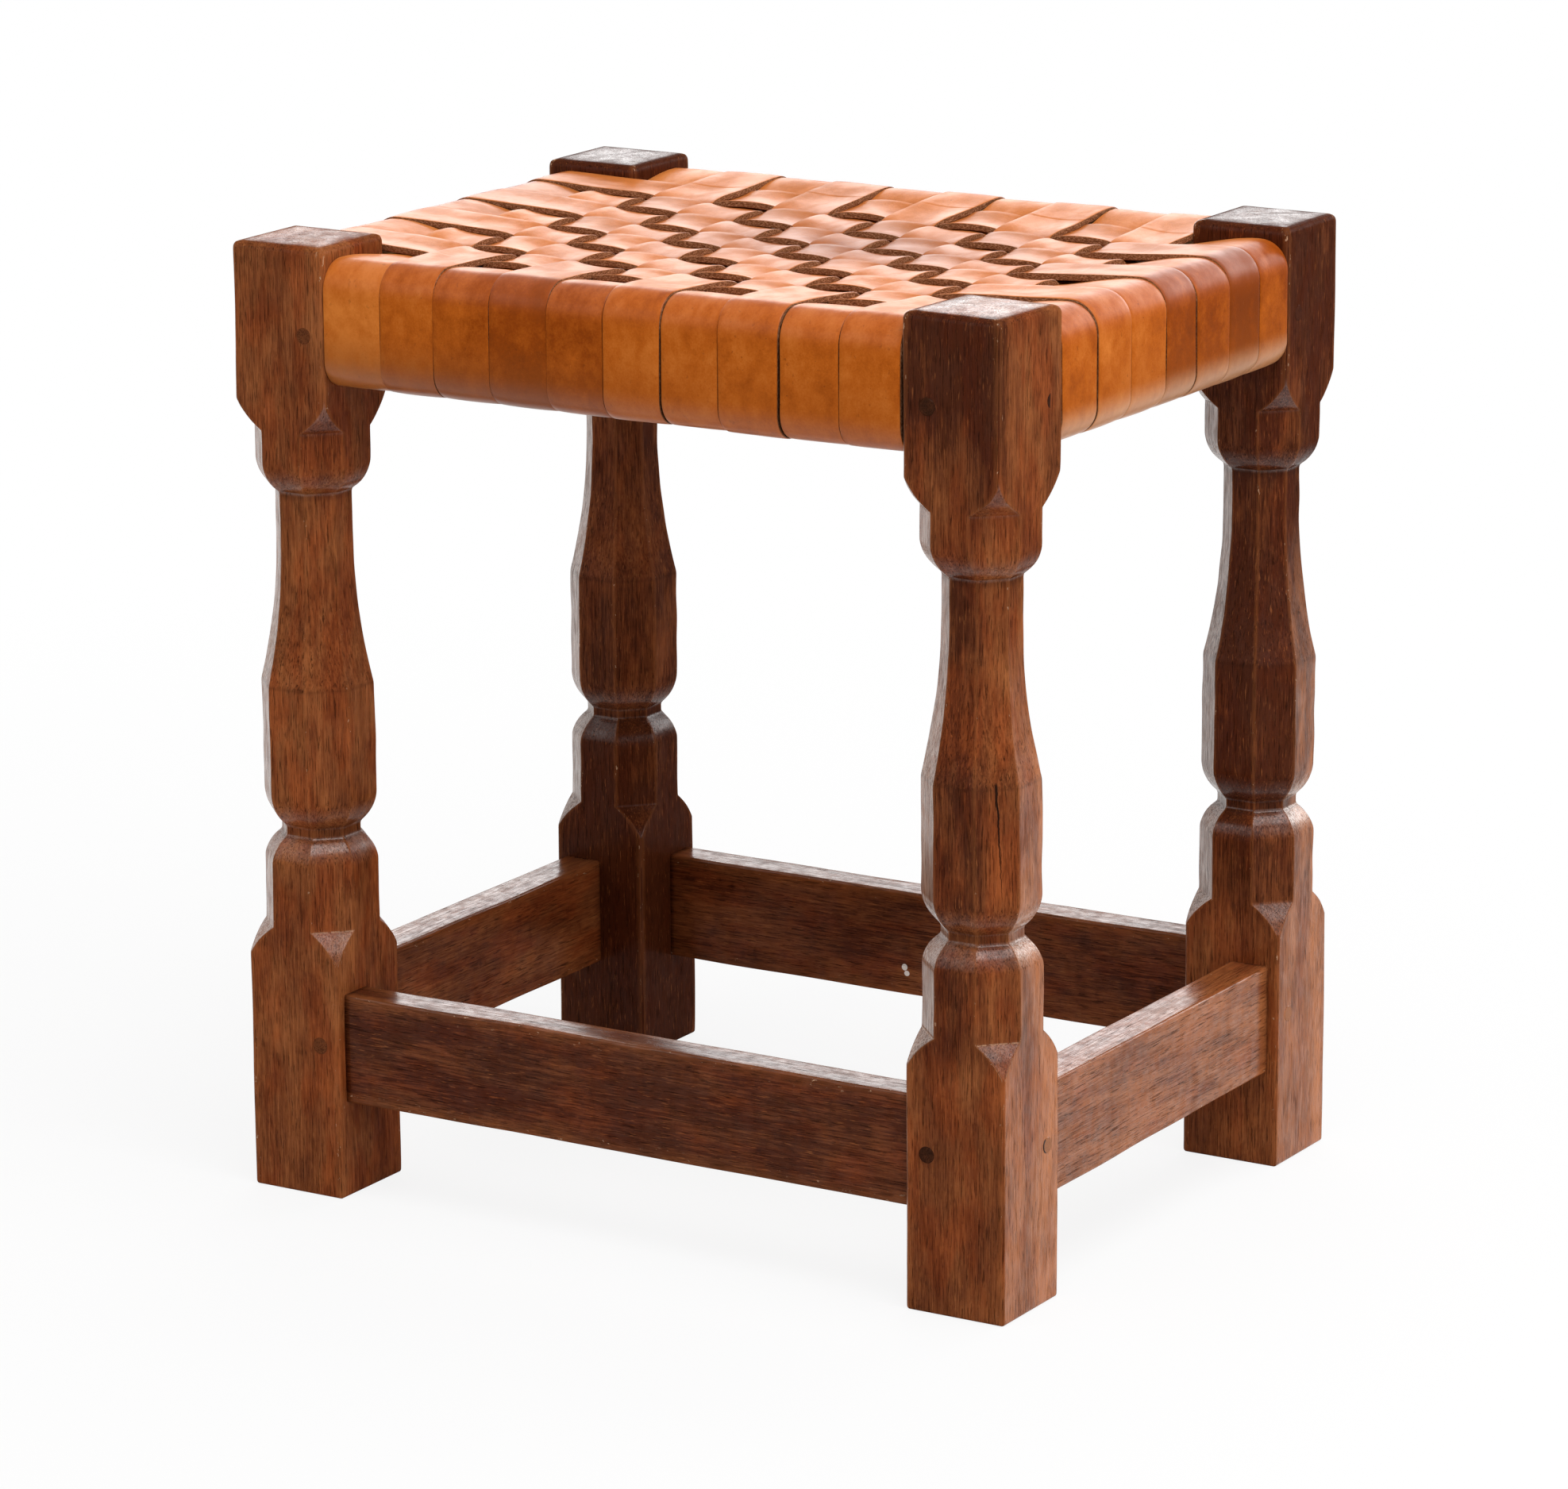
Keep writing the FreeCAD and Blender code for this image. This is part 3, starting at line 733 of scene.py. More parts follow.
def between(values: np.ndarray, start: float, rise: float, end: float, fall: float) -> np.ndarray:
    """Is 1 between start + rise and end - fall, with straight ramps to 0 at the start and the end."""
    return np.clip((values - start) / rise, 0, 1) * np.clip((end - values) / fall, 0, 1)


def softened(values: np.ndarray, passes: int) -> np.ndarray:
    """Values along the first axis, each averaged with its neighbours some number of times, with fixed ends.

    Args:
        values: The values.
        passes: How many times.

    Returns:
        The softened values.
    """
    for _ in range(passes):
        values = np.concatenate([values[:1], (values[:-2] + 2 * values[1:-1] + values[2:]) / 4, values[-1:]])
    return values


def tube_faces(rows: int, columns: int) -> np.ndarray:
    """Quads of a grid that is closed round its columns.

    Args:
        rows: Rows of the grid.
        columns: Points in each row.

    Returns:
        Four vertex numbers for each quad.
    """
    index = np.arange(rows * columns).reshape(rows, columns)
    a, b = index[:-1], index[1:]
    return np.stack([a, np.roll(a, -1, 1), np.roll(b, -1, 1), b], -1).reshape(-1, 4)


def folded_caps(rows: int, columns: int) -> np.ndarray:
    """Quads that close both ends of a flat tube, from its upper line across to its lower line.

    Args:
        rows: Rows of the tube.
        columns: Points in each row.

    Returns:
        Four vertex numbers for each quad.
    """
    k = np.arange(columns // 2 - 1)
    cap = np.stack([k, columns - 1 - k, columns - 2 - k, k + 1], -1)
    return np.concatenate([cap, cap[:, ::-1] + (rows - 1) * columns])


def closed_bar(name: str, points: np.ndarray, tags: dict[str, np.ndarray | tuple]) -> bpy.types.Object:
    """Makes a tube that is closed by fans about the middles of its first and last rows.

    Args:
        name: The piece's name.
        points: The grid of rows and columns.
        tags: Values on that grid by attribute name, each with those of the two middles where they aren't 0.

    Returns:
        The piece, at the origin.
    """
    rows, columns = points.shape[:2]
    ring = np.arange(columns)
    following = np.roll(ring, -1)
    middle, last = rows * columns, (rows - 1) * columns
    fans = [np.stack([np.full(columns, middle), following, ring], -1),
            np.stack([np.full(columns, middle + 1), last + ring, last + following], -1)]
    corners = np.concatenate([points.reshape(-1, 3), [points[0].mean(0), points[-1].mean(0)]])
    values = {}
    for key, tag in tags.items():
        grid, ends = tag if isinstance(tag, tuple) else (tag, (0.0, 0.0))
        values[key] = np.append(np.broadcast_to(grid, (rows, columns)).ravel(), ends)
    return mesh_piece(name, corners, [tube_faces(rows, columns), *fans], values)


def mesh_piece(name: str, points: np.ndarray, faces: list[np.ndarray],
               tags: dict[str, np.ndarray]) -> bpy.types.Object:
    """Makes one closed piece with its faces outwards.

    The sum of the tetrahedra from the origin to each face gives the enclosed volume, and where it is
    negative the faces are turned round.

    Args:
        name: The piece's name.
        points: Vertices in millimetres.
        faces: Arrays of quads or triangles.
        tags: Values at the vertices by attribute name: one number or three for each.

    Returns:
        The piece, at the origin.
    """
    volume = 0.0
    for group in faces:
        for second in range(1, group.shape[1] - 1):
            a, b, c = (points[group[:, corner]] for corner in (0, second, second + 1))
            volume += np.einsum("ij,ij->", a, np.cross(b, c))
    if volume < 0:
        faces = [group[:, ::-1] for group in faces]
    mesh = bpy.data.meshes.new(name)
    mesh.from_pydata((points * MM).tolist(), [], [face for group in faces for face in group.tolist()])
    mesh.polygons.foreach_set("use_smooth", np.ones(len(mesh.polygons), dtype=bool))
    for key, values in tags.items():
        flat = values.ndim == 1
        layer = mesh.attributes.new(key, "FLOAT" if flat else "FLOAT_VECTOR", "POINT")
        layer.data.foreach_set("value" if flat else "vector", values.astype(np.float32).ravel())
    return linked(bpy.data.objects.new(name, mesh))


def linked(item: bpy.types.Object) -> bpy.types.Object:
    """Puts an object in the scene and gives it back."""
    bpy.context.collection.objects.link(item)
    return item


def stands_for(piece: bpy.types.Object, material: bpy.types.Material, node: str) -> None:
    """Dresses a piece that takes the place of one CAD node.

    Args:
        piece: The new piece.
        material: Its finish.
        node: The CAD node.
    """
    piece.data.materials.append(material)
    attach(piece, "root")
    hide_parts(node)
    LOG.info("%s built", node)


def recoat(node: str, material: bpy.types.Material) -> None:
    """Puts a finish on a CAD node that stays in view.

    Args:
        node: The CAD node.
        material: Its finish.
    """
    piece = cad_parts[node]
    piece.data.materials.clear()
    piece.data.materials.append(material)
    LOG.info("%s finished", node)


# Legs


@dataclass
class Leg:
    """One leg: a post worked to eight sides between its square head and foot, with softened arrises.

    The stance is a list of heights, with the turn and the shift along X and Y that the leg has there.
    """

    name: str
    side_x: int
    side_y: int
    seed: int
    crack: bool = False
    heart: tuple[float, float] = (0.0, 0.0)
    heart_run: LegParts = (1.0,) * 5
    stain_and_shade: LegParts = (0.0,) * 5
    stance: tuple[tuple[float, float, float, float], ...] = ((0.0, 0.0, 0.0, 0.0),)
    deep: float = 0.0
    row_step: float = 1.15
    stop_step: float = 0.45
    top_wax: float = 0.52
    red: float = 0.75
    bruised: float = 1.0
    arris_parts: int = 4
    waist_arris: float = 226.3
    crown: float = 0.9
    arris_round: tuple[float, float] = (1.15, 0.45)
    round_range: tuple[float, float] = (0.55, 1.6)
    cap_shares: tuple[float, ...] = (0.97, 0.9, 0.75, 0.55, 0.3, 0.08)

    @property
    def centre(self) -> Triple:
        """Where the leg's middle line meets the floor."""
        return (self.side_x * LEG_X, self.side_y * LEG_Y, 0.0)

    def steps(self) -> list[tuple[float, float, float, float]]:
        """The outline from the floor up: (flats, corners, height, bow) where each step ends.

        Returns:
            Those four numbers for each step.
        """
        half = LEG_SIDE / 2
        square = LEG_SIDE / math.sqrt(2) - 0.7
        neck, waist, shank = half - 7.15, half - 0.15, half - 7.8
        return [
            (half - 1.4, square - 1.4, 0.0, 0.0),
            (half, square, 1.4, 0.35),
            (half, square, 106.0, 0.0),
            (half, half, 119.0, 0.9),
            (half, half, 148.0, 0.0),
            (neck, neck, 159.2, 1.3),
            (neck, neck, 163.6, 0.0),
            (waist, waist, 177.0, 1.5),
            (waist, waist, 226.0, 0.0),
            (shank, shank, 296.0, -2.1),
            (shank, shank, 311.3, 0.0),
            (half, half, 324.0, 1.7),
            (half, half, 339.0, 0.0),
            (half, square, 352.0, 0.9),
            (half, square, HEIGHT - 3.0, 0.0),
            (half - 3.0, square - 3.0, HEIGHT, 0.88),
        ]

    def rows(self) -> tuple[np.ndarray, np.ndarray, np.ndarray]:
        """Distances to the flats and corners, and heights, in short steps.

        Each step's chord from (r0, z0) to (r1, z1) is bent by a parabola of the bow's height, to the right
        of the way up, on the side that changes.

        Returns:
            Distances to the flats, distances to the corners, and heights.
        """
        steps = self.steps()
        rows = []
        for (f0, c0, z0, _), (f1, c1, z1, bow) in zip(steps, steps[1:]):
            pitch = self.stop_step if f0 == f1 and c0 != c1 else self.row_step
            length = math.hypot(c1 - c0, z1 - z0)
            count = max(5, round(length / pitch))
            t = np.arange(count) / count
            bulge = 4 * t * (1 - t) * bow
            outward = bulge * (z1 - z0) / length
            rows.append((f0 + (f1 - f0) * t + (outward if f1 != f0 else 0),
                         c0 + (c1 - c0) * t + outward,
                         z0 + (z1 - z0) * t - bulge * (c1 - c0) / length))
        return tuple(np.append(np.concatenate(part), end) for part, end in zip(zip(*rows), steps[-1]))

    def section(self, flats: np.ndarray, corners: np.ndarray, soft: np.ndarray,
                deep: np.ndarray) -> tuple[np.ndarray, np.ndarray, np.ndarray]:
        """Eight-sided rounded outlines.

        The sides are moved in by the softening, their meeting points are found, and an arc of that radius
        is drawn round each. Straight parts join the arcs.

        Args:
            flats: Distances to the four flats, one for each row.
            corners: Distances to the four corner facets.
            soft: Radius of the arrises.
            deep: How much deeper the front right facet is cut.

        Returns:
            Points of shape (rows, columns, 2), how near each column is to an arris, and the way it faces in
            radians.
        """
        arc = np.linspace(0, math.pi / 4, self.arris_parts + 1)
        line = np.array([0.045, 0.25, 0.5, 0.75, 0.955])
        arcs, turns = [], []
        for quarter in range(4):
            f, c = flats - soft, corners - soft - deep * (quarter == 3)
            knee = np.clip(c * math.sqrt(2) - f, 0, f)
            base = quarter * math.pi / 2
            for x, y, angles in ((f, knee, base + arc), (knee, f, base + (math.pi / 4 + arc))):
                cx = x * math.cos(base) - y * math.sin(base)
                cy = x * math.sin(base) + y * math.cos(base)
                arcs.append(np.stack([cx[:, None] + soft[:, None] * np.cos(angles),
                                      cy[:, None] + soft[:, None] * np.sin(angles)], -1))
                turns.append(angles)
        rings = []
        for this, following in zip(arcs, arcs[1:] + arcs[:1]):
            start, end = this[:, -1:], following[:, :1]
            rings += [this, start + (end - start) * line[None, :, None]]
        near = np.tile(np.repeat([1.0, 0.0], [len(arc), len(line)]), len(arcs))
        facing = [np.append(angles, np.full(len(line), angles[-1])) for angles in turns]
        return np.concatenate(rings, axis=1), near, np.concatenate(facing)

    def waxed(self, heights: np.ndarray, flats: np.ndarray,
              facing: np.ndarray) -> tuple[np.ndarray, np.ndarray]:
        """Thickness of the wax, and how far the tone is worn paler, partly as a painted sheen.

        The wax is thicker on the facets that face front and left, on rounds and on the stops. The lower
        part of the right legs' outer sides is worn paler, partly as a painted sheen, and so, a little, are
        the facets that face front and left.

        Args:
            heights: Heights of the rows.
            flats: Distances to the flats in each row.
            facing: The way each column faces.

        Returns:
            The wax, and the paler wear with its painted sheen, from 0 to 1 on the grid of rows and columns.
        """
        left_front = hill(facing, math.radians(225), 0.30)[None, :]
        turned = (facing + math.pi) % (2 * math.pi) - math.pi
        right = hill(turned, 0.0, 0.32) * (self.side_x > 0)
        low = np.clip((292 - heights) / 75, 0, 1)
        slope = np.abs(np.gradient(flats, heights))
        rounds = np.clip((slope - 0.22) * 2, 0, 1) * (heights < 330) * (heights > 3)
        corner = hill(facing[None, :] % QUARTER, math.pi / 4, 0.25)
        stop = 0.32 * corner * between(heights, 105, 3, 120, 2)[:, None]
        upper_stop = 0.6 * corner * between(heights, 338, 3, 355, 3)[:, None]
        # Paler wear on the right legs' low outer sides and a little on the front-left facets, partly a
        # painted sheen.
        rub_and_sheen = right[None, :] * low[:, None]
        wax = 0.05 + 0.95 * left_front + 0.55 * rub_and_sheen + 0.45 * rounds[:, None]
        return np.clip(np.maximum(wax, stop + upper_stop), 0, 1), rub_and_sheen + 0.3 * left_front

    def cap(self, rim: np.ndarray, crown: float) -> np.ndarray:
        """Rings that close an end: the rim drawn in towards its middle, and raised by a crown.

        A ring drawn in to the share s rises by the crown times 1 - s², and a crowned end is uneven by 1 - s⁸.

        Args:
            rim: The end's outline.
            crown: How far the end's middle stands up.

        Returns:
            The rings, from the rim inwards.
        """
        shares = np.array(self.cap_shares)[:, None, None]
        rings = rim.mean(0) + (rim - rim.mean(0)) * shares
        uneven = wobble(rings, self.seed + 3, 16.0) * 0.25
        rings[..., 2] += crown * (1 - shares[..., 0] ** 2) + uneven * (crown > 0) * (1 - shares[..., 0] ** 8)
        return rings

    def stood(self, points: np.ndarray) -> np.ndarray:
        """Points turned and shifted as the stance says at their heights, and moved to the leg's place.

        Args:
            points: Points about the leg's middle line.

        Returns:
            Points in the stool's frame.
        """
        x, y, z = np.moveaxis(points, -1, 0)
        at, *moves = (np.array(values) for values in zip(*self.stance))
        angle, shift_x, shift_y = (np.interp(z, at, move) for move in moves)
        turned_x = x * np.cos(angle) - y * np.sin(angle)
        turned_y = x * np.sin(angle) + y * np.cos(angle)
        return np.stack([turned_x + self.centre[0] + shift_x, turned_y + self.centre[1] + shift_y, z], -1)

    def marks(self, heights: np.ndarray, flats: np.ndarray, near: np.ndarray,
              facing: np.ndarray) -> dict[str, np.ndarray]:
        """Where the leg is worn, dirty and painted with shade, waxed, chipped, and worn paler with a painted
        sheen.

        Dirt and painted shade fill the hollows, by the second derivative of the flats over height, and the
        arris over the waist. Chips follow the ridges between facets at the lower stops, and the crease over
        them.

        Args:
            heights: Heights of the rows.
            flats: Distances to the flats in each row.
            near: How near each column is to an arris.
            facing: The way each column faces.

        Returns:
            Values on the grid of rows and columns, or for each row or column, by attribute name.
        """
        bend = np.gradient(np.gradient(flats, heights), heights)
        hollow = np.clip(softened(bend, 1) * 7, 0, 1) * (heights > 120) * (heights < 335)
        corner = hill(facing % QUARTER, math.pi / 4, 0.2)
        ridge = near * hill(facing % (math.pi / 4), math.pi / 8, 0.14)
        stop_edge = between(heights, 104, 2, 121, 2)[:, None] * ridge
        crease = 0.8 * hill(heights, 119, 0.6)[:, None] * corner[None, :]
        wax, rub_and_sheen = self.waxed(heights, flats, facing)
        return {
            "arris": near[None, :],
            # Dirt and painted shade in the hollows and along the arris over the waist.
            "grime_and_shade": np.maximum(0.6 * hollow, 0.7 * hill(heights, self.waist_arris, 0.8))[:, None],
            "wax": wax,
            "chipped": self.bruised * np.maximum(stop_edge, crease),
            "rub_and_sheen": rub_and_sheen,
        }

    def build(self) -> bpy.types.Object:
        """Makes the leg's mesh, with unevenness from the tools and from wear.

        Returns:
            The leg.
        """
        flats, corners, heights = self.rows()
        level = np.stack([np.zeros_like(heights), np.zeros_like(heights), heights], -1)
        mean, change = self.arris_round
        soft = mean + change * wobble(level, self.seed + 5, 38.0)
        soft = np.clip(soft, *self.round_range) * np.clip(heights / 1.4, 0.4, 1.0)
        for line in (flats, corners):
            line[3:-3] = softened(line, 1)[3:-3]
        deep = self.deep * between(heights, 318, 5, 346, 5)
        outline, near, facing = self.section(flats, corners, soft, deep)
        rows, columns = outline.shape[:2]
        points = np.concatenate([outline, np.broadcast_to(heights[:, None, None], (rows, columns, 1))], -1)
        worked = np.clip(np.minimum(heights - 100, 362 - heights) / 20, 0.25, 1.0)[:, None]
        out = outline / np.linalg.norm(outline, axis=-1, keepdims=True)
        chisel = wobble(points, self.seed, 15.0, (1.0, 1.0, 0.8)) * 0.11 * worked
        warp = wobble(points, self.seed + 9, 90.0) * 0.22
        points[..., :2] += out * (chisel + warp)[..., None] * np.clip(heights / 6, 0, 1)[:, None, None]
        top, bottom = self.cap(points[-1], self.crown), self.cap(points[0], 0.0)[::-1]
        shares = np.array([0.35, 0.7, 1, 1, 1, 1])[:, None]
        shine = np.clip(self.top_wax * shares + wobble(top, self.seed + 21, 11.0) * 0.07, 0.05, 0.7)
        on_caps = {"grime_and_shade": (0.6, 0.0, (0.6, 0.0)), "wax": (0.0, shine, (0.0, self.top_wax))}
        blank = np.zeros((len(top), columns))
        tags = {}
        for key, marks in self.marks(heights, flats, near, facing).items():
            below, above, ends = on_caps.get(key, (0.0, 0.0, (0.0, 0.0)))
            grid = np.broadcast_to(marks, (rows, columns))
            tags[key] = (np.concatenate([blank + below, grid, blank + above]), ends)
        return closed_bar(self.name, self.stood(np.concatenate([bottom, points, top])), tags)

    def dress(self) -> None:
        """Gives the leg its oak and lets it stand for the CAD leg."""
        finish = OakFinish("oak_" + self.name, Axis.Z, self.centre, float(self.seed), heart=self.heart,
                           heart_run=self.heart_run, stain_and_shade=self.stain_and_shade, red=self.red, crack=self.crack)
        stands_for(self.build(), finish.material(), self.name)


# Stretchers


@dataclass
class Stretcher:
    """One stretcher between two legs, with eased long edges."""

    name: str
    along: Axis
    side: int
    thick: float
    seed: int
    chip: bool = False
    stain_and_shade: float = 0.0
    polish: float = 0.10
    low: float = 43.3
    top: float = 92.0
    setback: float = 5.0
    into_leg: float = 0.6
    edge_round: float = 1.3
    wood_level: float = 67.0
    leg_shadow: float = 2.5
    face_parts: tuple[int, int] = (4, 10)
    rows: int = 90

    @property
    def runs_x(self) -> bool:
        """Whether the stretcher runs from left to right."""
        return self.along is Axis.X

    @property
    def middle(self) -> float:
        """How far the stretcher's middle stands out from the stool's."""
        return (DEPTH if self.runs_x else WIDTH) / 2 - self.setback - self.thick / 2

    def section(self) -> tuple[np.ndarray, np.ndarray, tuple[float, float]]:
        """The cross-section: a rectangle with a quarter arc at each corner and straight parts between.

        Returns:
            Places across the stretcher and up it, how near each is to an arris, and the arcs' centres.
        """
        half = (self.thick / 2 - self.edge_round, (self.top - self.low) / 2 - self.edge_round)
        turns = np.linspace(0, QUARTER, 6)
        arcs = []
        for quarter, signs in enumerate(((1, 1), (-1, 1), (-1, -1), (1, -1))):
            angles = quarter * QUARTER + turns
            circle = np.stack([np.cos(angles), np.sin(angles)], -1)
            arcs.append(np.array(signs) * half + self.edge_round * circle)
        ring, near = [], []
        for quarter, (arc, following) in enumerate(zip(arcs, arcs[1:] + arcs[:1])):
            parts = self.face_parts[quarter % 2]
            t = (np.arange(1, parts) / parts)[:, None]
            ring += [arc, arc[-1] + (following[0] - arc[-1]) * t]
            near += [np.ones(len(arc)), np.zeros(parts - 1)]
        return np.concatenate(ring), np.concatenate(near), half

    def build(self) -> bpy.types.Object:
        """Makes the section carried between the legs, slightly uneven from the plane.

        Wax and rubbing lie on the upper edge and, on a polished stretcher, on the outer face, where the paler
        tone is partly a painted sheen. Painted shade, with some dirt, gathers by the legs, falling with e to
        the power of minus the distance over the length of that shadow.

        Returns:
            The stretcher.
        """
        half_run = (INNER_X if self.runs_x else INNER_Y) + self.into_leg
        ring, near, (half_a, half_b) = self.section()
        run = np.linspace(-half_run, half_run, self.rows)
        runs, across = np.meshgrid(run, ring[:, 0], indexing="ij")
        height = np.broadcast_to(ring[None, :, 1], runs.shape) + (self.low + self.top) / 2
        sample = np.stack([runs, across, height], -1)
        across = across + wobble(sample, self.seed, 60.0) * 0.16 * np.sign(across)
        height = height + wobble(sample, self.seed + 1, 75.0) * 0.2
        outward = self.side * (self.middle + across)
        points = np.stack([runs, outward, height] if self.runs_x else [outward, runs, height], -1)
        upper = np.clip((ring[:, 1] - half_b) / self.edge_round * 1.2 - 0.1, 0, 1)
        outer = np.clip((ring[:, 0] - half_a) / self.edge_round * 1.2 - 0.1, 0, 1)
        wax = np.maximum(np.maximum(0.52 * upper, self.polish * outer), 0.08)
        # Paler wear on the upper edge; on a polished outer face it is partly a painted sheen.
        rub_and_sheen = np.maximum(0.35 * upper, (self.polish - 0.1) * 1.6 * outer)
        # Painted shade, with some dirt, where the stretcher meets the legs.
        shadow = np.exp(-(half_run - np.abs(run)) / self.leg_shadow)[:, None]
        tags = {"arris": near, "grime_and_shade": shadow, "chipped": np.zeros(1), "wax": wax, "rub_and_sheen": rub_and_sheen}
        return closed_bar(self.name, points, tags)

    def dress(self) -> None:
        """Gives the stretcher its oak and lets it stand for the CAD one."""
        face = self.side * self.middle
        centre = (0.0, face, self.wood_level) if self.runs_x else (face, 0.0, self.wood_level)
        finish = OakFinish("oak_" + self.name, self.along, centre, float(self.seed), pith=(44.0, 9.0),
                           stain_and_shade=(self.stain_and_shade,) * 5, chip=self.chip)
        stands_for(self.build(), finish.material(), self.name)


# The woven seat


class Run(Enum):
    """The way a strap runs."""

    LENGTHWISE = "lengthwise"
    CROSSWISE = "crosswise"


@dataclass
class Weave:
    """The seat's weave: pitch of the cells, level of the middle, and how straps bend over and under.

    The straps are laid out on an even lattice and then moved to where hands pulled them: lengthwise straps
    drift sideways by a few millimetres, and crosswise straps spread towards both ends of the field, most at
    mid-length.

    In the cell of an upper strap, with a along it and c across it from the cell's middle, the upper strap's
    middle surface stands (thick / 2 + lift (1 - cos(pi c))) cos(pi a) ** k above the weave's middle. k
    falls from 1 on its centre line to sharp at its edges. The lower strap is the same form below, with a
    and c changed over.
    """

    count_x: int = 10
    count_y: int = 7
    thick: float = 3.0
    middle: float = 409.9
    sag: float = 3.4
    slope: tuple[float, float] = (-0.5, -0.4)
    lift_over: float = 1.6
    lift_under: float = 1.1
    sharp: float = 0.30
    dive: tuple[float, float] = (0.15, 0.10)
    spread: tuple[float, ...] = (-10.9, -3.6, 2.6, 3.8, 3.3, 5.8, 11.9)
    bowl_reach: float = 12.0
    drift_fade: tuple[float, float] = (60.0, 140.0)
    rail_shift: tuple[float, ...] = (0.0, 1.3, 1.2, 3.2, 1.7, 2.6, 2.0, 0.0)
    front_drift: tuple[float, ...] = (0.0, 0.9, -0.8, -1.2, -1.2, -1.9, -2.4, -3.2, -2.8, -3.0, -2.6)
    field_drift: tuple[float, ...] = (-2.0, -3.5, -1.5, -0.5, -0.3, -1.8, -3.0, -1.8, -0.2, 1.2, 1.0)

    @property
    def pitch_x(self) -> float:
        """Width of one lengthwise strap with its gap."""
        return 2 * INNER_X / self.count_x

    @property
    def pitch_y(self) -> float:
        """Width of one crosswise strap with its gap."""
        return 2 * INNER_Y / self.count_y

    def drift(self, x: np.ndarray, y: np.ndarray) -> np.ndarray:
        """How far lattice lines have moved along X: from the front's drift to the field's, to none behind.

        Args:
            x: Places along X.
            y: Places along Y.

        Returns:
            What to add to X.
        """
        line = (x + INNER_X) / self.pitch_x
        front = np.interp(line, np.arange(self.count_x + 1), self.front_drift)
        inside = np.interp(line, np.arange(self.count_x + 1), self.field_drift)
        start, end = self.drift_fade
        t = np.clip((y + DEPTH / 2) / (DEPTH / 2 + start), 0, 1)
        back = np.clip((y - start) / (end - start), 0, 1)
        return (front + (inside - front) * t) * (1 - back * back * (3 - 2 * back))

    def parting(self, x: np.ndarray, y: np.ndarray) -> np.ndarray:
        """How far lattice lines have moved along Y: the spread at mid-length, none at the legs."""
        centres = -INNER_Y + (np.arange(self.count_y) + 0.5) * self.pitch_y
        return np.interp(y, centres, self.spread) * np.clip(1 - (x / INNER_X) ** 2, 0, 1)

    def level(self, x: np.ndarray, y: np.ndarray) -> np.ndarray:
        """Height of the weave's middle: a shallow bowl that leans a little.

        Args:
            x: Places along X.
            y: Places along Y.

        Returns:
            The height at each place.
        """
        reach_y = INNER_Y + self.bowl_reach
        bowl = np.clip(1 - (x / INNER_X) ** 2, 0, 1) * np.clip(1 - (y / reach_y) ** 2, 0, 1)
        return self.middle - self.sag * bowl + self.slope[0] * x / INNER_X + self.slope[1] * y / INNER_Y

    def rise(self, along: np.ndarray, across: np.ndarray, over: np.ndarray) -> np.ndarray:
        """Height of a strap's middle surface above the weave's middle.

        Args:
            along: Place in the cell along the strap, from -0.5 to 0.5.
            across: Place across the strap, from -0.5 to 0.5.
            over: Whether the strap is the upper one there.

        Returns:
            The height, below zero where the strap is the lower one.
        """
        bow = 1 - np.cos(math.pi * across)
        keen = 1 - (1 - self.sharp) * bow
        fade = np.clip(np.cos(math.pi * along), 1e-6, 1) ** keen
        upper = self.thick / 2 + self.lift_over * bow
        lower = -self.thick / 2 - self.lift_under * bow
        return np.where(over, upper, lower) * fade


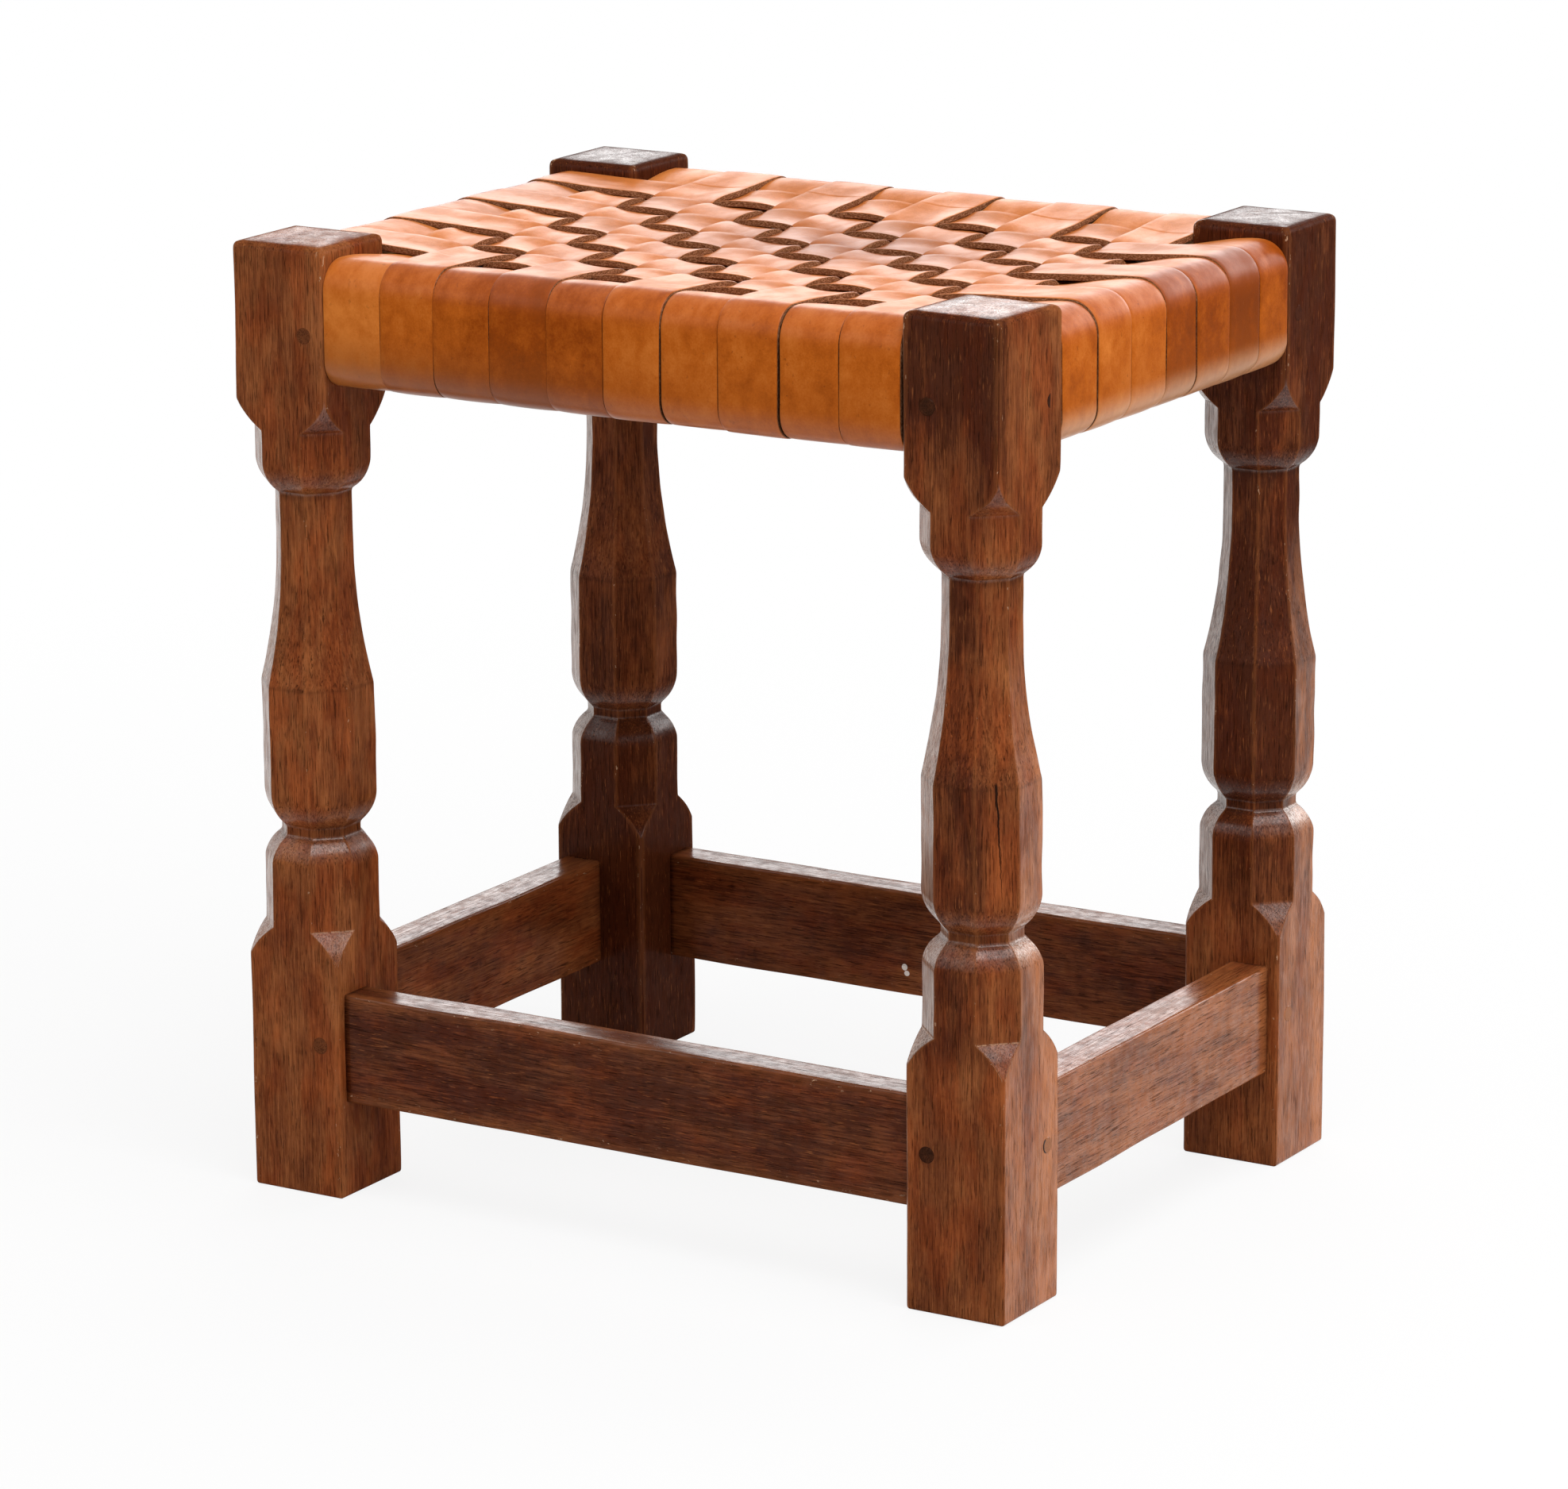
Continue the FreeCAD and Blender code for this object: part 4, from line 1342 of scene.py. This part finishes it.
@dataclass
class Strap:
    """One leather strap, from nails on one rail, round it, through the weave and round the opposite rail."""

    weave: Weave
    run: Run
    index: int
    tint: float
    loose: float = 0.0
    trim: tuple[float, float] = (0.12, 0.12)
    setback: float = 3.6
    seat: float = 0.2
    rail_line: float = 140.0
    rail_thick: float = 30.0
    rail_top: float = 411.8
    rail_low: float = 363.3
    turn_up: float = 24.0
    rounds: Triple = (5.0, 9.0, 10.0)
    crest: float = 1.5
    proud: float = 0.7
    under_round: float = 0.3
    crown: float = 0.18
    worn_down: float = 0.1
    hang: float = 0.6
    bend: tuple[float, float] = (46.0, 0.16)
    sway: tuple[float, float] = (70.0, 0.12)
    ring_shares: int = 13
    cell_rows: int = 22
    side_seed: int = 40
    pattern_apart: tuple[int, int] = (37, 500)
    soil_x: tuple[float, float] = (20.0, 68.0)
    soil_y: tuple[float, float] = (20.0, 42.0)
    soil_low: float = 402.0

    @property
    def name(self) -> str:
        """The name of the CAD node."""
        return "strap_%s_%02d" % (self.run.value, self.index + 1)

    @property
    def lengthwise(self) -> bool:
        """Whether the strap runs from front to back."""
        return self.run is Run.LENGTHWISE

    @property
    def half(self) -> float:
        """Half the stool's size along the strap."""
        return (DEPTH if self.lengthwise else WIDTH) / 2

    @property
    def inner(self) -> float:
        """Half the woven field along the strap."""
        return INNER_Y if self.lengthwise else INNER_X

    @property
    def cell(self) -> float:
        """Length of one crossing along the strap."""
        return self.weave.pitch_y if self.lengthwise else self.weave.pitch_x

    @property
    def count(self) -> int:
        """How many crossings the strap has."""
        return self.weave.count_y if self.lengthwise else self.weave.count_x

    @property
    def pitch(self) -> float:
        """Width of this strap with its gap."""
        return self.weave.pitch_x if self.lengthwise else self.weave.pitch_y

    @property
    def middle(self) -> float:
        """Where the strap's centre line lies across it."""
        return -(INNER_X if self.lengthwise else INNER_Y) + (self.index + 0.5) * self.pitch

    def over(self, cell: np.ndarray | int) -> np.ndarray | bool:
        """Whether the strap is the upper one at a crossing: every second, by turns with its neighbours."""
        return ((cell + self.index) % 2 == 0) != self.lengthwise

    def rail_wrap(self, proud: float) -> tuple[np.ndarray, np.ndarray]:
        """The middle line round one rail, from the nailed end to where it leaves the top.

        Straight runs are joined by quarter arcs about the rail's rounded edges.

        Args:
            proud: How far the strap stands off the rail's top.

        Returns:
            Distances out from the stool's middle and heights.
        """
        off = self.seat + self.weave.thick / 2
        outer = self.half - self.setback + off + self.loose
        inner = self.half - self.setback - self.rail_thick - off
        low, top = self.rail_low - off - self.loose * self.hang, self.rail_top + off + proud
        low_inner, low_outer, top_outer = (radius + off for radius in self.rounds)
        turns = np.linspace(0, QUARTER, 13)
        out, up = 1 - np.cos(turns), 1 - np.sin(turns)
        end = self.rail_low + self.turn_up
        pieces = [
            (np.full(8, inner), np.linspace(end, low + low_inner, 8, endpoint=False)),
            (inner + low_inner * out, low + low_inner * up),
            (np.linspace(inner + low_inner, outer - low_outer, 8)[1:-1], np.full(6, low)),
            (outer - low_outer * up, low + low_outer * out),
            (np.full(12, outer), np.linspace(low + low_outer, top - top_outer, 14)[1:-1]),
            (outer - top_outer * out, top - top_outer * up),
            ([outer - top_outer - self.crest], [top]),
        ]
        away, heights = (np.concatenate(part) for part in zip(*pieces))
        return away, heights

    def lattice_rows(self, leave: float) -> np.ndarray:
        """Lattice places along the strap between the rails, closer together at the cells' edges by a sine.

        Args:
            leave: Where the strap leaves the rail's top.

        Returns:
            Places from one crest to the other.
        """
        t = np.sin(np.linspace(-QUARTER, QUARTER, self.cell_rows + 1))[:-1] / 2 + 0.5
        field_rows = (-self.inner + (np.arange(self.count)[:, None] + t[None, :]) * self.cell).ravel()
        bridge = np.linspace(self.inner, leave, 13)[:-1]
        return np.concatenate([-bridge[:0:-1], field_rows, bridge])

    def section(self) -> tuple[np.ndarray, np.ndarray, np.ndarray, np.ndarray]:
        """The strap's cross-section.

        The upper line runs from left to right with rounded corners, sharper where the next strap lies
        close, and a crown by 1 - u⁴, with u from -1 to 1 across it. The lower line runs back under it.

        Returns:
            Places across and through the strap, and how far each is cut edge and flesh side.
        """
        left, right = -self.pitch / 2 + self.trim[0], self.pitch / 2 - self.trim[1]
        half, firm = self.weave.thick / 2, self.under_round
        near, far = (0.2 + 0.4 * min(1.0, trim / 0.15) for trim in self.trim)
        arc = np.linspace(0, QUARTER, 5)[:-1]
        out, up = 1 - np.cos(arc), 1 - np.sin(arc)
        inside = np.linspace(left + near, right - far, self.ring_shares)
        crown = self.crown * (1 - (2 * (inside - left) / (right - left) - 1) ** 4)
        upper = (np.concatenate([left + near * out, inside, right - far * out[::-1]]),
                 np.concatenate([half - near * up, half + crown, half - far * up[::-1]]) - self.worn_down)
        under = np.linspace(right - firm, left + firm, self.ring_shares)
        lower = (np.concatenate([right - firm * out, under, left + firm * out[::-1]]),
                 np.concatenate([firm * up, np.zeros(self.ring_shares), firm * up[::-1]]) - half)
        across, through = (np.concatenate(part) for part in zip(upper, lower))
        edge = np.array([1.0, 0.6, 0.15, 0.0])
        cut = np.concatenate([edge, np.zeros(self.ring_shares), edge[::-1]])
        return across, through, np.concatenate([cut, cut ** 0.3]), np.repeat([0.0, 1.0], len(cut))

    def surface(self, across: np.ndarray) -> tuple[np.ndarray, np.ndarray, np.ndarray, np.ndarray]:
        """The strap's middle surface in the stool's frame.

        Round the rails it is the wrap's line. Between the rails it follows the weave. From the last
        crossing's middle to the rail's crest it eases up, by t t (3 - 2 t). Lattice places are moved by the
        weave's drift and parting, which die away towards the crest.

        Args:
            across: Places across the strap from its centre line.

        Returns:
            X, Y, heights, and how near a dive each point is, on the grid of rows and columns.
        """
        weave, middle = self.weave, self.middle
        wraps = [self.rail_wrap(self.proud if self.over(cell) else 0.0) for cell in (0, self.count - 1)]
        out = wraps[0][0]
        leave = out[-1]
        q, c = np.meshgrid(self.lattice_rows(leave), across, indexing="ij")
        hold = np.clip((leave - np.abs(q)) / (leave - self.inner), 0, 1)
        field_q = np.clip(q, -self.inner, self.inner)
        if self.lengthwise:
            y = q + weave.parting(middle + c, field_q) * hold
            x = middle + c + weave.drift(middle + c, y)
        else:
            spread = weave.spread[self.index] * np.clip(1 - (q / INNER_X) ** 2, 0, 1)
            y = self.on_rail(c) + (middle + c - self.on_rail(c) + spread) * hold
            x = q + weave.drift(field_q, y) * hold
        line = (q + self.inner) / self.cell
        line = line + self.diving(line, c)
        cell = np.clip(np.floor(line), 0, self.count - 1)
        along = line - cell - 0.5
        last = self.inner - self.cell / 2
        outer = np.abs(q) > last
        height = weave.level(x, y) + weave.rise(np.where(outer, 0.0, along), c / self.pitch, self.over(cell))
        top = np.where(q < 0, wraps[0][1][-1], wraps[1][1][-1])
        t = np.clip((np.abs(q) - last) / (leave - last), 0, 1)
        height = np.where(outer, height + (top - height) * t * t * (3 - 2 * t), height)
        # How near a dive: the leather darkens there as painted shade with some wear.
        dive_wear_and_shade = np.where(outer, 0.0, np.clip(np.abs(along) * 2, 0, 1) ** 4)
        wrap, side = np.meshgrid(out, across, indexing="ij")
        ends = []
        for sign, (_, up) in zip((-1, 1), wraps):
            if self.lengthwise:
                rail = np.full(wrap.shape, sign * self.rail_line)
                place = (middle + side + weave.drift(middle + side, rail), sign * wrap)
            else:
                place = (sign * wrap, self.on_rail(side))
            ends.append((*place, np.broadcast_to(up[:, None], wrap.shape), np.zeros(wrap.shape)))
        grids = zip(ends[0], (x, y, softened(height, 2), dive_wear_and_shade), ends[1])
        return tuple(np.concatenate([first, woven, last_end[::-1]]) for first, woven, last_end in grids)

    def diving(self, line: np.ndarray, across: np.ndarray) -> np.ndarray:
        """How much earlier a strap's outer edge dives: lengthwise straps early, and crosswise straps late.

        It is the dive's share of a cell, at the right edge of a lengthwise strap and the front edge of a
        crosswise one, falling to none at the centre line with the square. Along the strap it is 1 where the
        strap goes from over to under and 0 where it comes up, by a cosine with a period of two cells.

        Args:
            line: Place along the strap in cells.
            across: Place across it.

        Returns:
            What to add to the place along the strap, in cells.
        """
        early, late = self.weave.dive
        edge = np.clip((across if self.lengthwise else -across) * 2 / self.pitch, 0, 1) ** 2
        down = self.index + (0 if self.lengthwise else 1)
        wave = (1 + np.cos(math.pi * (line - down))) / 2
        return edge * wave * (early if self.lengthwise else -late)

    def on_rail(self, across: np.ndarray) -> np.ndarray:
        """Where the places across a crosswise strap lie along the side rails.

        Args:
            across: Places across the strap from its centre line.

        Returns:
            Places along Y.
        """
        place = self.middle + across
        lines = np.arange(self.weave.count_y + 1)
        return place + np.interp((place + INNER_Y) / self.weave.pitch_y, lines, self.weave.rail_shift)

    def build(self) -> bpy.types.Object:
        """Makes the strap: its cross-section set square to its middle surface, with a little unevenness.

        The seat is soiled by hands in its middle, by a bell over X and Y.

        Returns:
            The strap.
        """
        across, through, cut, flesh = self.section()
        x, y, height, dive_wear_and_shade = self.surface(across)
        rows, columns = x.shape
        runs = y if self.lengthwise else x
        spot = np.stack([x, y, height], -1)
        seed = self.index + (0 if self.lengthwise else self.side_seed)
        wave, depth = self.bend
        offset = through + wobble(spot, seed, wave) * depth
        d_run, d_up = np.gradient(runs, axis=0), np.gradient(height, axis=0)
        size = np.hypot(d_run, d_up)
        runs = runs - d_up / size * offset
        final_up = height + d_run / size * offset
        wave, depth = self.sway
        sway = wobble(spot, seed + 7, wave) * depth * np.sign(across)
        points = np.stack([x + sway, runs, final_up] if self.lengthwise else [runs, y + sway, final_up], -1)
        steps = np.hypot(np.diff(runs.mean(1)), np.diff(height.mean(1)))
        length = np.concatenate([[0], np.cumsum(steps)])[:, None]
        step, side_step = self.pattern_apart
        apart = self.index * step + (0 if self.lengthwise else side_step)
        strap = np.stack(np.broadcast_arrays(length, across, through + apart), -1)
        soil = hill(x, *self.soil_x) * hill(y, *self.soil_y) * np.clip(final_up - self.soil_low, 0, 1)
        nailed = np.isin(np.arange(rows), (0, rows - 1))[:, None]
        tags = {
            "strap": strap,
            "cut": np.maximum(cut, nailed),
            "flesh": np.broadcast_to(flesh, x.shape),
            "tint": np.full(x.shape, self.tint),
            "handled": soil,
            "dive_wear_and_shade": dive_wear_and_shade,
        }
        flat = {key: grid.reshape(rows * columns, *grid.shape[2:]) for key, grid in tags.items()}
        faces = [tube_faces(rows, columns), folded_caps(rows, columns)]
        return mesh_piece(self.name, points.reshape(-1, 3), faces, flat)


@dataclass
class Seat:
    """The woven seat: both sets of straps in one leather, over bare oak rails, held by iron nails.

    Tints run from the left and from the front, as the gaps between straps do, with the gap to a leg at
    either end. Loose says how far each strap stands off the outer faces of its rails.
    """

    weave: Weave = field(default_factory=Weave)
    tints: tuple[float, ...] = (0.28, -0.03, -0.18, -0.34, -0.21, 0.03, 0.05, -0.01, 0.01, 0.01)
    side_tints: tuple[float, ...] = (-0.02, 0.08, 0.04, -0.34, -0.28, -0.52, -0.20)
    gaps: tuple[float, ...] = (0.2, 0.02, 0.08, 0.10, 0.04, 0.30, 0.70, 0.16, 0.62, 0.20, 0.3)
    side_gaps: tuple[float, ...] = (0.2, 0.5, 0.12, 0.02, 0.6, 0.02, 0.2, 0.2)
    loose: tuple[float, ...] = (0.3, 0.3, 0.25, 0.2, 0.3, 0.6, 0.15, 0.6, 0.15, 0.05)
    side_loose: tuple[float, ...] = (0.1, 0.55, 0.52, 0.5, 0.72, 0.68, 0.6)

    def dress(self) -> None:
        """Builds every strap and dresses the rails and nails."""
        leather = LeatherFinish().material()
        for run, tints, gaps, loose in ((Run.LENGTHWISE, self.tints, self.gaps, self.loose),
                                        (Run.CROSSWISE, self.side_tints, self.side_gaps, self.side_loose)):
            for index, tint in enumerate(tints):
                trim = (gaps[index] / 2, gaps[index + 1] / 2)
                strap = Strap(self.weave, run, index, tint, loose[index], trim)
                stands_for(strap.build(), leather, strap.name)
        iron = IronFinish().material()
        for side, grain in (("front", Axis.X), ("back", Axis.X), ("left", Axis.Y), ("right", Axis.Y)):
            bare = OakFinish("bare_oak_" + side, grain, seed=len(side) * 1.7, worn=False,
                             shade=srgb(120, 82, 50), body=srgb(158, 116, 76), glow=srgb(190, 150, 106),
                             pore=srgb(80, 52, 32))
            recoat("seat_rail_" + side, bare.material())
            recoat("nails_" + side, iron)


# The studio


def background_rays(nodes: Nodes) -> Signal:
    """Is 1 for the rays that see the background: the camera's, reflected ones and those through glass.

    Args:
        nodes: The tree that is being filled.

    Returns:
        Is 1 or 0.
    """
    outputs = nodes.node("ShaderNodeLightPath").outputs
    camera, glossy, through = (Signal(nodes, outputs["Is %s Ray" % name])
                               for name in ("Camera", "Glossy", "Transmission"))
    return camera.at_least(glossy).at_least(through)


@dataclass
class Studio:
    """A pale floor, soft lamps, a white surround and the photograph's camera."""

    azimuth: float = 31.24
    elevation: float = 14.35
    roll: float = -0.29
    distance: float = 5486.0
    target: Triple = (-1325.1, 2177.9, -461.1)
    lens: float = 150.09
    film: float = 36.0
    reach: float = 50.0
    white: RGB = (1.0, 1.0, 1.0)
    surround: float = 0.36
    floor_half: float = 6.0
    floor_white: float = 0.86
    floor_grey: float = 0.8
    floor_fade: tuple[float, float] = (500.0, 1300.0)

    def camera(self) -> None:
        """Stands the camera where the corners of the legs in the photograph put it."""
        a, e, r = (math.radians(value) for value in (self.azimuth, self.elevation, self.roll))
        back = Vector((math.sin(a) * math.cos(e), -math.cos(a) * math.cos(e), math.sin(e)))
        right = Vector((math.cos(a), math.sin(a), 0.0))
        up = back.cross(right)
        right, up = right * math.cos(r) + up * math.sin(r), up * math.cos(r) - right * math.sin(r)
        data = bpy.data.cameras.new("photograph")
        data.lens = self.lens
        data.sensor_width = self.film
        data.clip_end = self.reach
        camera = linked(bpy.data.objects.new("photograph", data))
        where = (Vector(self.target) + back * self.distance) * MM
        turn = Matrix((right, up, back)).transposed().to_4x4()
        camera.matrix_world = Matrix.Translation(where) @ turn
        bpy.context.scene.camera = camera

    def lamp(self, name: str, place: Triple, aim: float, size: tuple[float, float], power: float) -> None:
        """Hangs one rectangular soft lamp.

        Args:
            name: The lamp's name.
            place: Where it hangs, in metres.
            aim: The height of the point over the stool's middle that it shines on.
            size: Its width and height.
            power: Its power in watts.
        """
        data = bpy.data.lights.new(name, "AREA")
        data.shape = "RECTANGLE"
        data.size, data.size_y = size
        data.energy = power
        lamp = linked(bpy.data.objects.new(name, data))
        lamp.location = place
        toward = Vector((0.0, 0.0, aim)) - Vector(place)
        lamp.rotation_euler = toward.to_track_quat("-Z", "Y").to_euler()

    def world(self) -> None:
        """A white surround that the camera and reflections see, and that lights the object gently."""
        world = bpy.data.worlds.new("white_surround")
        bpy.context.scene.world = world
        world.use_nodes = True
        nodes = Nodes(world.node_tree)
        soft, bright = (nodes.node("ShaderNodeBackground", inputs={"Color": self.white, "Strength": strength})
                        for strength in (self.surround, 1.0))
        inputs = {0: background_rays(nodes), 1: soft.outputs[0], 2: bright.outputs[0]}
        mix = nodes.node("ShaderNodeMixShader", inputs=inputs)
        nodes.node("ShaderNodeOutputWorld", inputs={0: mix.outputs[0]})

    def floor(self) -> None:
        """A white floor: all white far off, and near the stool a seventh of it is lit and takes shadows."""
        h = self.floor_half
        mesh = bpy.data.meshes.new("floor")
        mesh.from_pydata([(-h, -h, 0), (h, -h, 0), (h, h, 0), (-h, h, 0)], [], [(0, 1, 2, 3)])
        floor = linked(bpy.data.objects.new("floor", mesh))
        shader = Shader("floor_white")
        mesh.materials.append(shader.finish(Base_Color=(self.floor_grey,) * 3, Roughness=0.9))
        glow = shader.node("ShaderNodeEmission", inputs={"Color": self.white, "Strength": 1.0})
        x, y, _ = shader.object_place().parts()
        far = ((x ** 2.0 + y ** 2.0) ** 0.5).step(*self.floor_fade)
        share = background_rays(shader) * (self.floor_white + far * (1.0 - self.floor_white))
        inputs = {0: share, 1: shader.surface.outputs[0], 2: glow.outputs[0]}
        mix = shader.node("ShaderNodeMixShader", inputs=inputs)
        shader.feed(shader.out.inputs[0], mix.outputs[0])

    def dress(self) -> None:
        """Sets up floor, lamps, surround and camera."""
        bpy.context.scene.view_settings.view_transform = "Standard"
        self.floor()
        self.world()
        self.lamp("back", (-0.3, 2.4, 1.1), 0.45, (4.0, 0.9), 46.0)
        self.lamp("overhead", (0.9, -0.4, 2.2), 0.3, (1.8, 1.6), 38.0)
        self.lamp("right", (2.3, -0.5, 1.0), 0.25, (1.2, 1.5), 11.5)
        self.lamp("front", (-1.2, -2.3, 1.3), 0.2, (1.6, 1.4), 10.0)
        self.camera()


def main() -> None:
    logging.basicConfig(level=logging.INFO, format="%(message)s")
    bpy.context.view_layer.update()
    lean = ((0.0, 0.0, 0.0, 0.0), (120.0, 0.0, 0.0, 0.0), (226.0, 0.0, -0.7, -0.4), (311.0, 0.0, -0.5, -0.3),
            (324.0, -0.035, -1.0, -0.6), (339.0, -0.035, -1.0, -0.6), (356.0, -0.066, -0.7, -0.4))
    wooden = (
        Leg("leg_front_left", -1, -1, 11, stain_and_shade=(0.06, 0.05, 0.12, 0.0, 0.10), top_wax=0.34),
        Leg("leg_front_right", 1, -1, 23, stain_and_shade=(0.05, 0.0, 0.03, 0.0, 0.0), heart=(0.0, -0.70),
            heart_run=(0.05, 0.45, 0.5, 0.1, 1.0), crack=True, deep=1.2, top_wax=0.55, stance=lean),
        # The back legs' darker tone shifts are partly painted shade under the seat.
        Leg("leg_back_left", -1, 1, 37, stain_and_shade=(-0.64, -0.55, -0.22, -0.85, -0.7), red=0.35, bruised=0.1),
        Leg("leg_back_right", 1, 1, 41, stain_and_shade=(-0.05, -0.28, -0.54, -0.43, -0.62), red=0.58, bruised=0.4),
        # The stretchers' darker tone shifts are partly painted shade under the seat.
        Stretcher("stretcher_front", Axis.X, -1, 17.0, 3, stain_and_shade=-0.40),
        Stretcher("stretcher_back", Axis.X, 1, 17.0, 5, chip=True, stain_and_shade=-0.2),
        Stretcher("stretcher_left", Axis.Y, -1, 18.5, 7, stain_and_shade=-0.02),
        Stretcher("stretcher_right", Axis.Y, 1, 18.5, 8, polish=0.62),
    )
    for piece in wooden:
        piece.dress()
    # Pegs are toned like their legs, and so carry the painted shade of the back legs.
    peg_tones = {
        "front_left": (srgb(92, 50, 27), srgb(116, 64, 35)),
        "front_right": (srgb(46, 24, 13), srgb(74, 39, 21)),
        "back_left": (srgb(50, 26, 14), srgb(70, 37, 20)),
        "back_right": (srgb(62, 29, 16), srgb(84, 41, 23)),
    }
    for corner, (dark, light) in peg_tones.items():
        recoat("pegs_" + corner, PegFinish("peg_" + corner, dark, light).material())
    Seat().dress()
    Studio().dress()


if __name__ == "__main__":
    main()
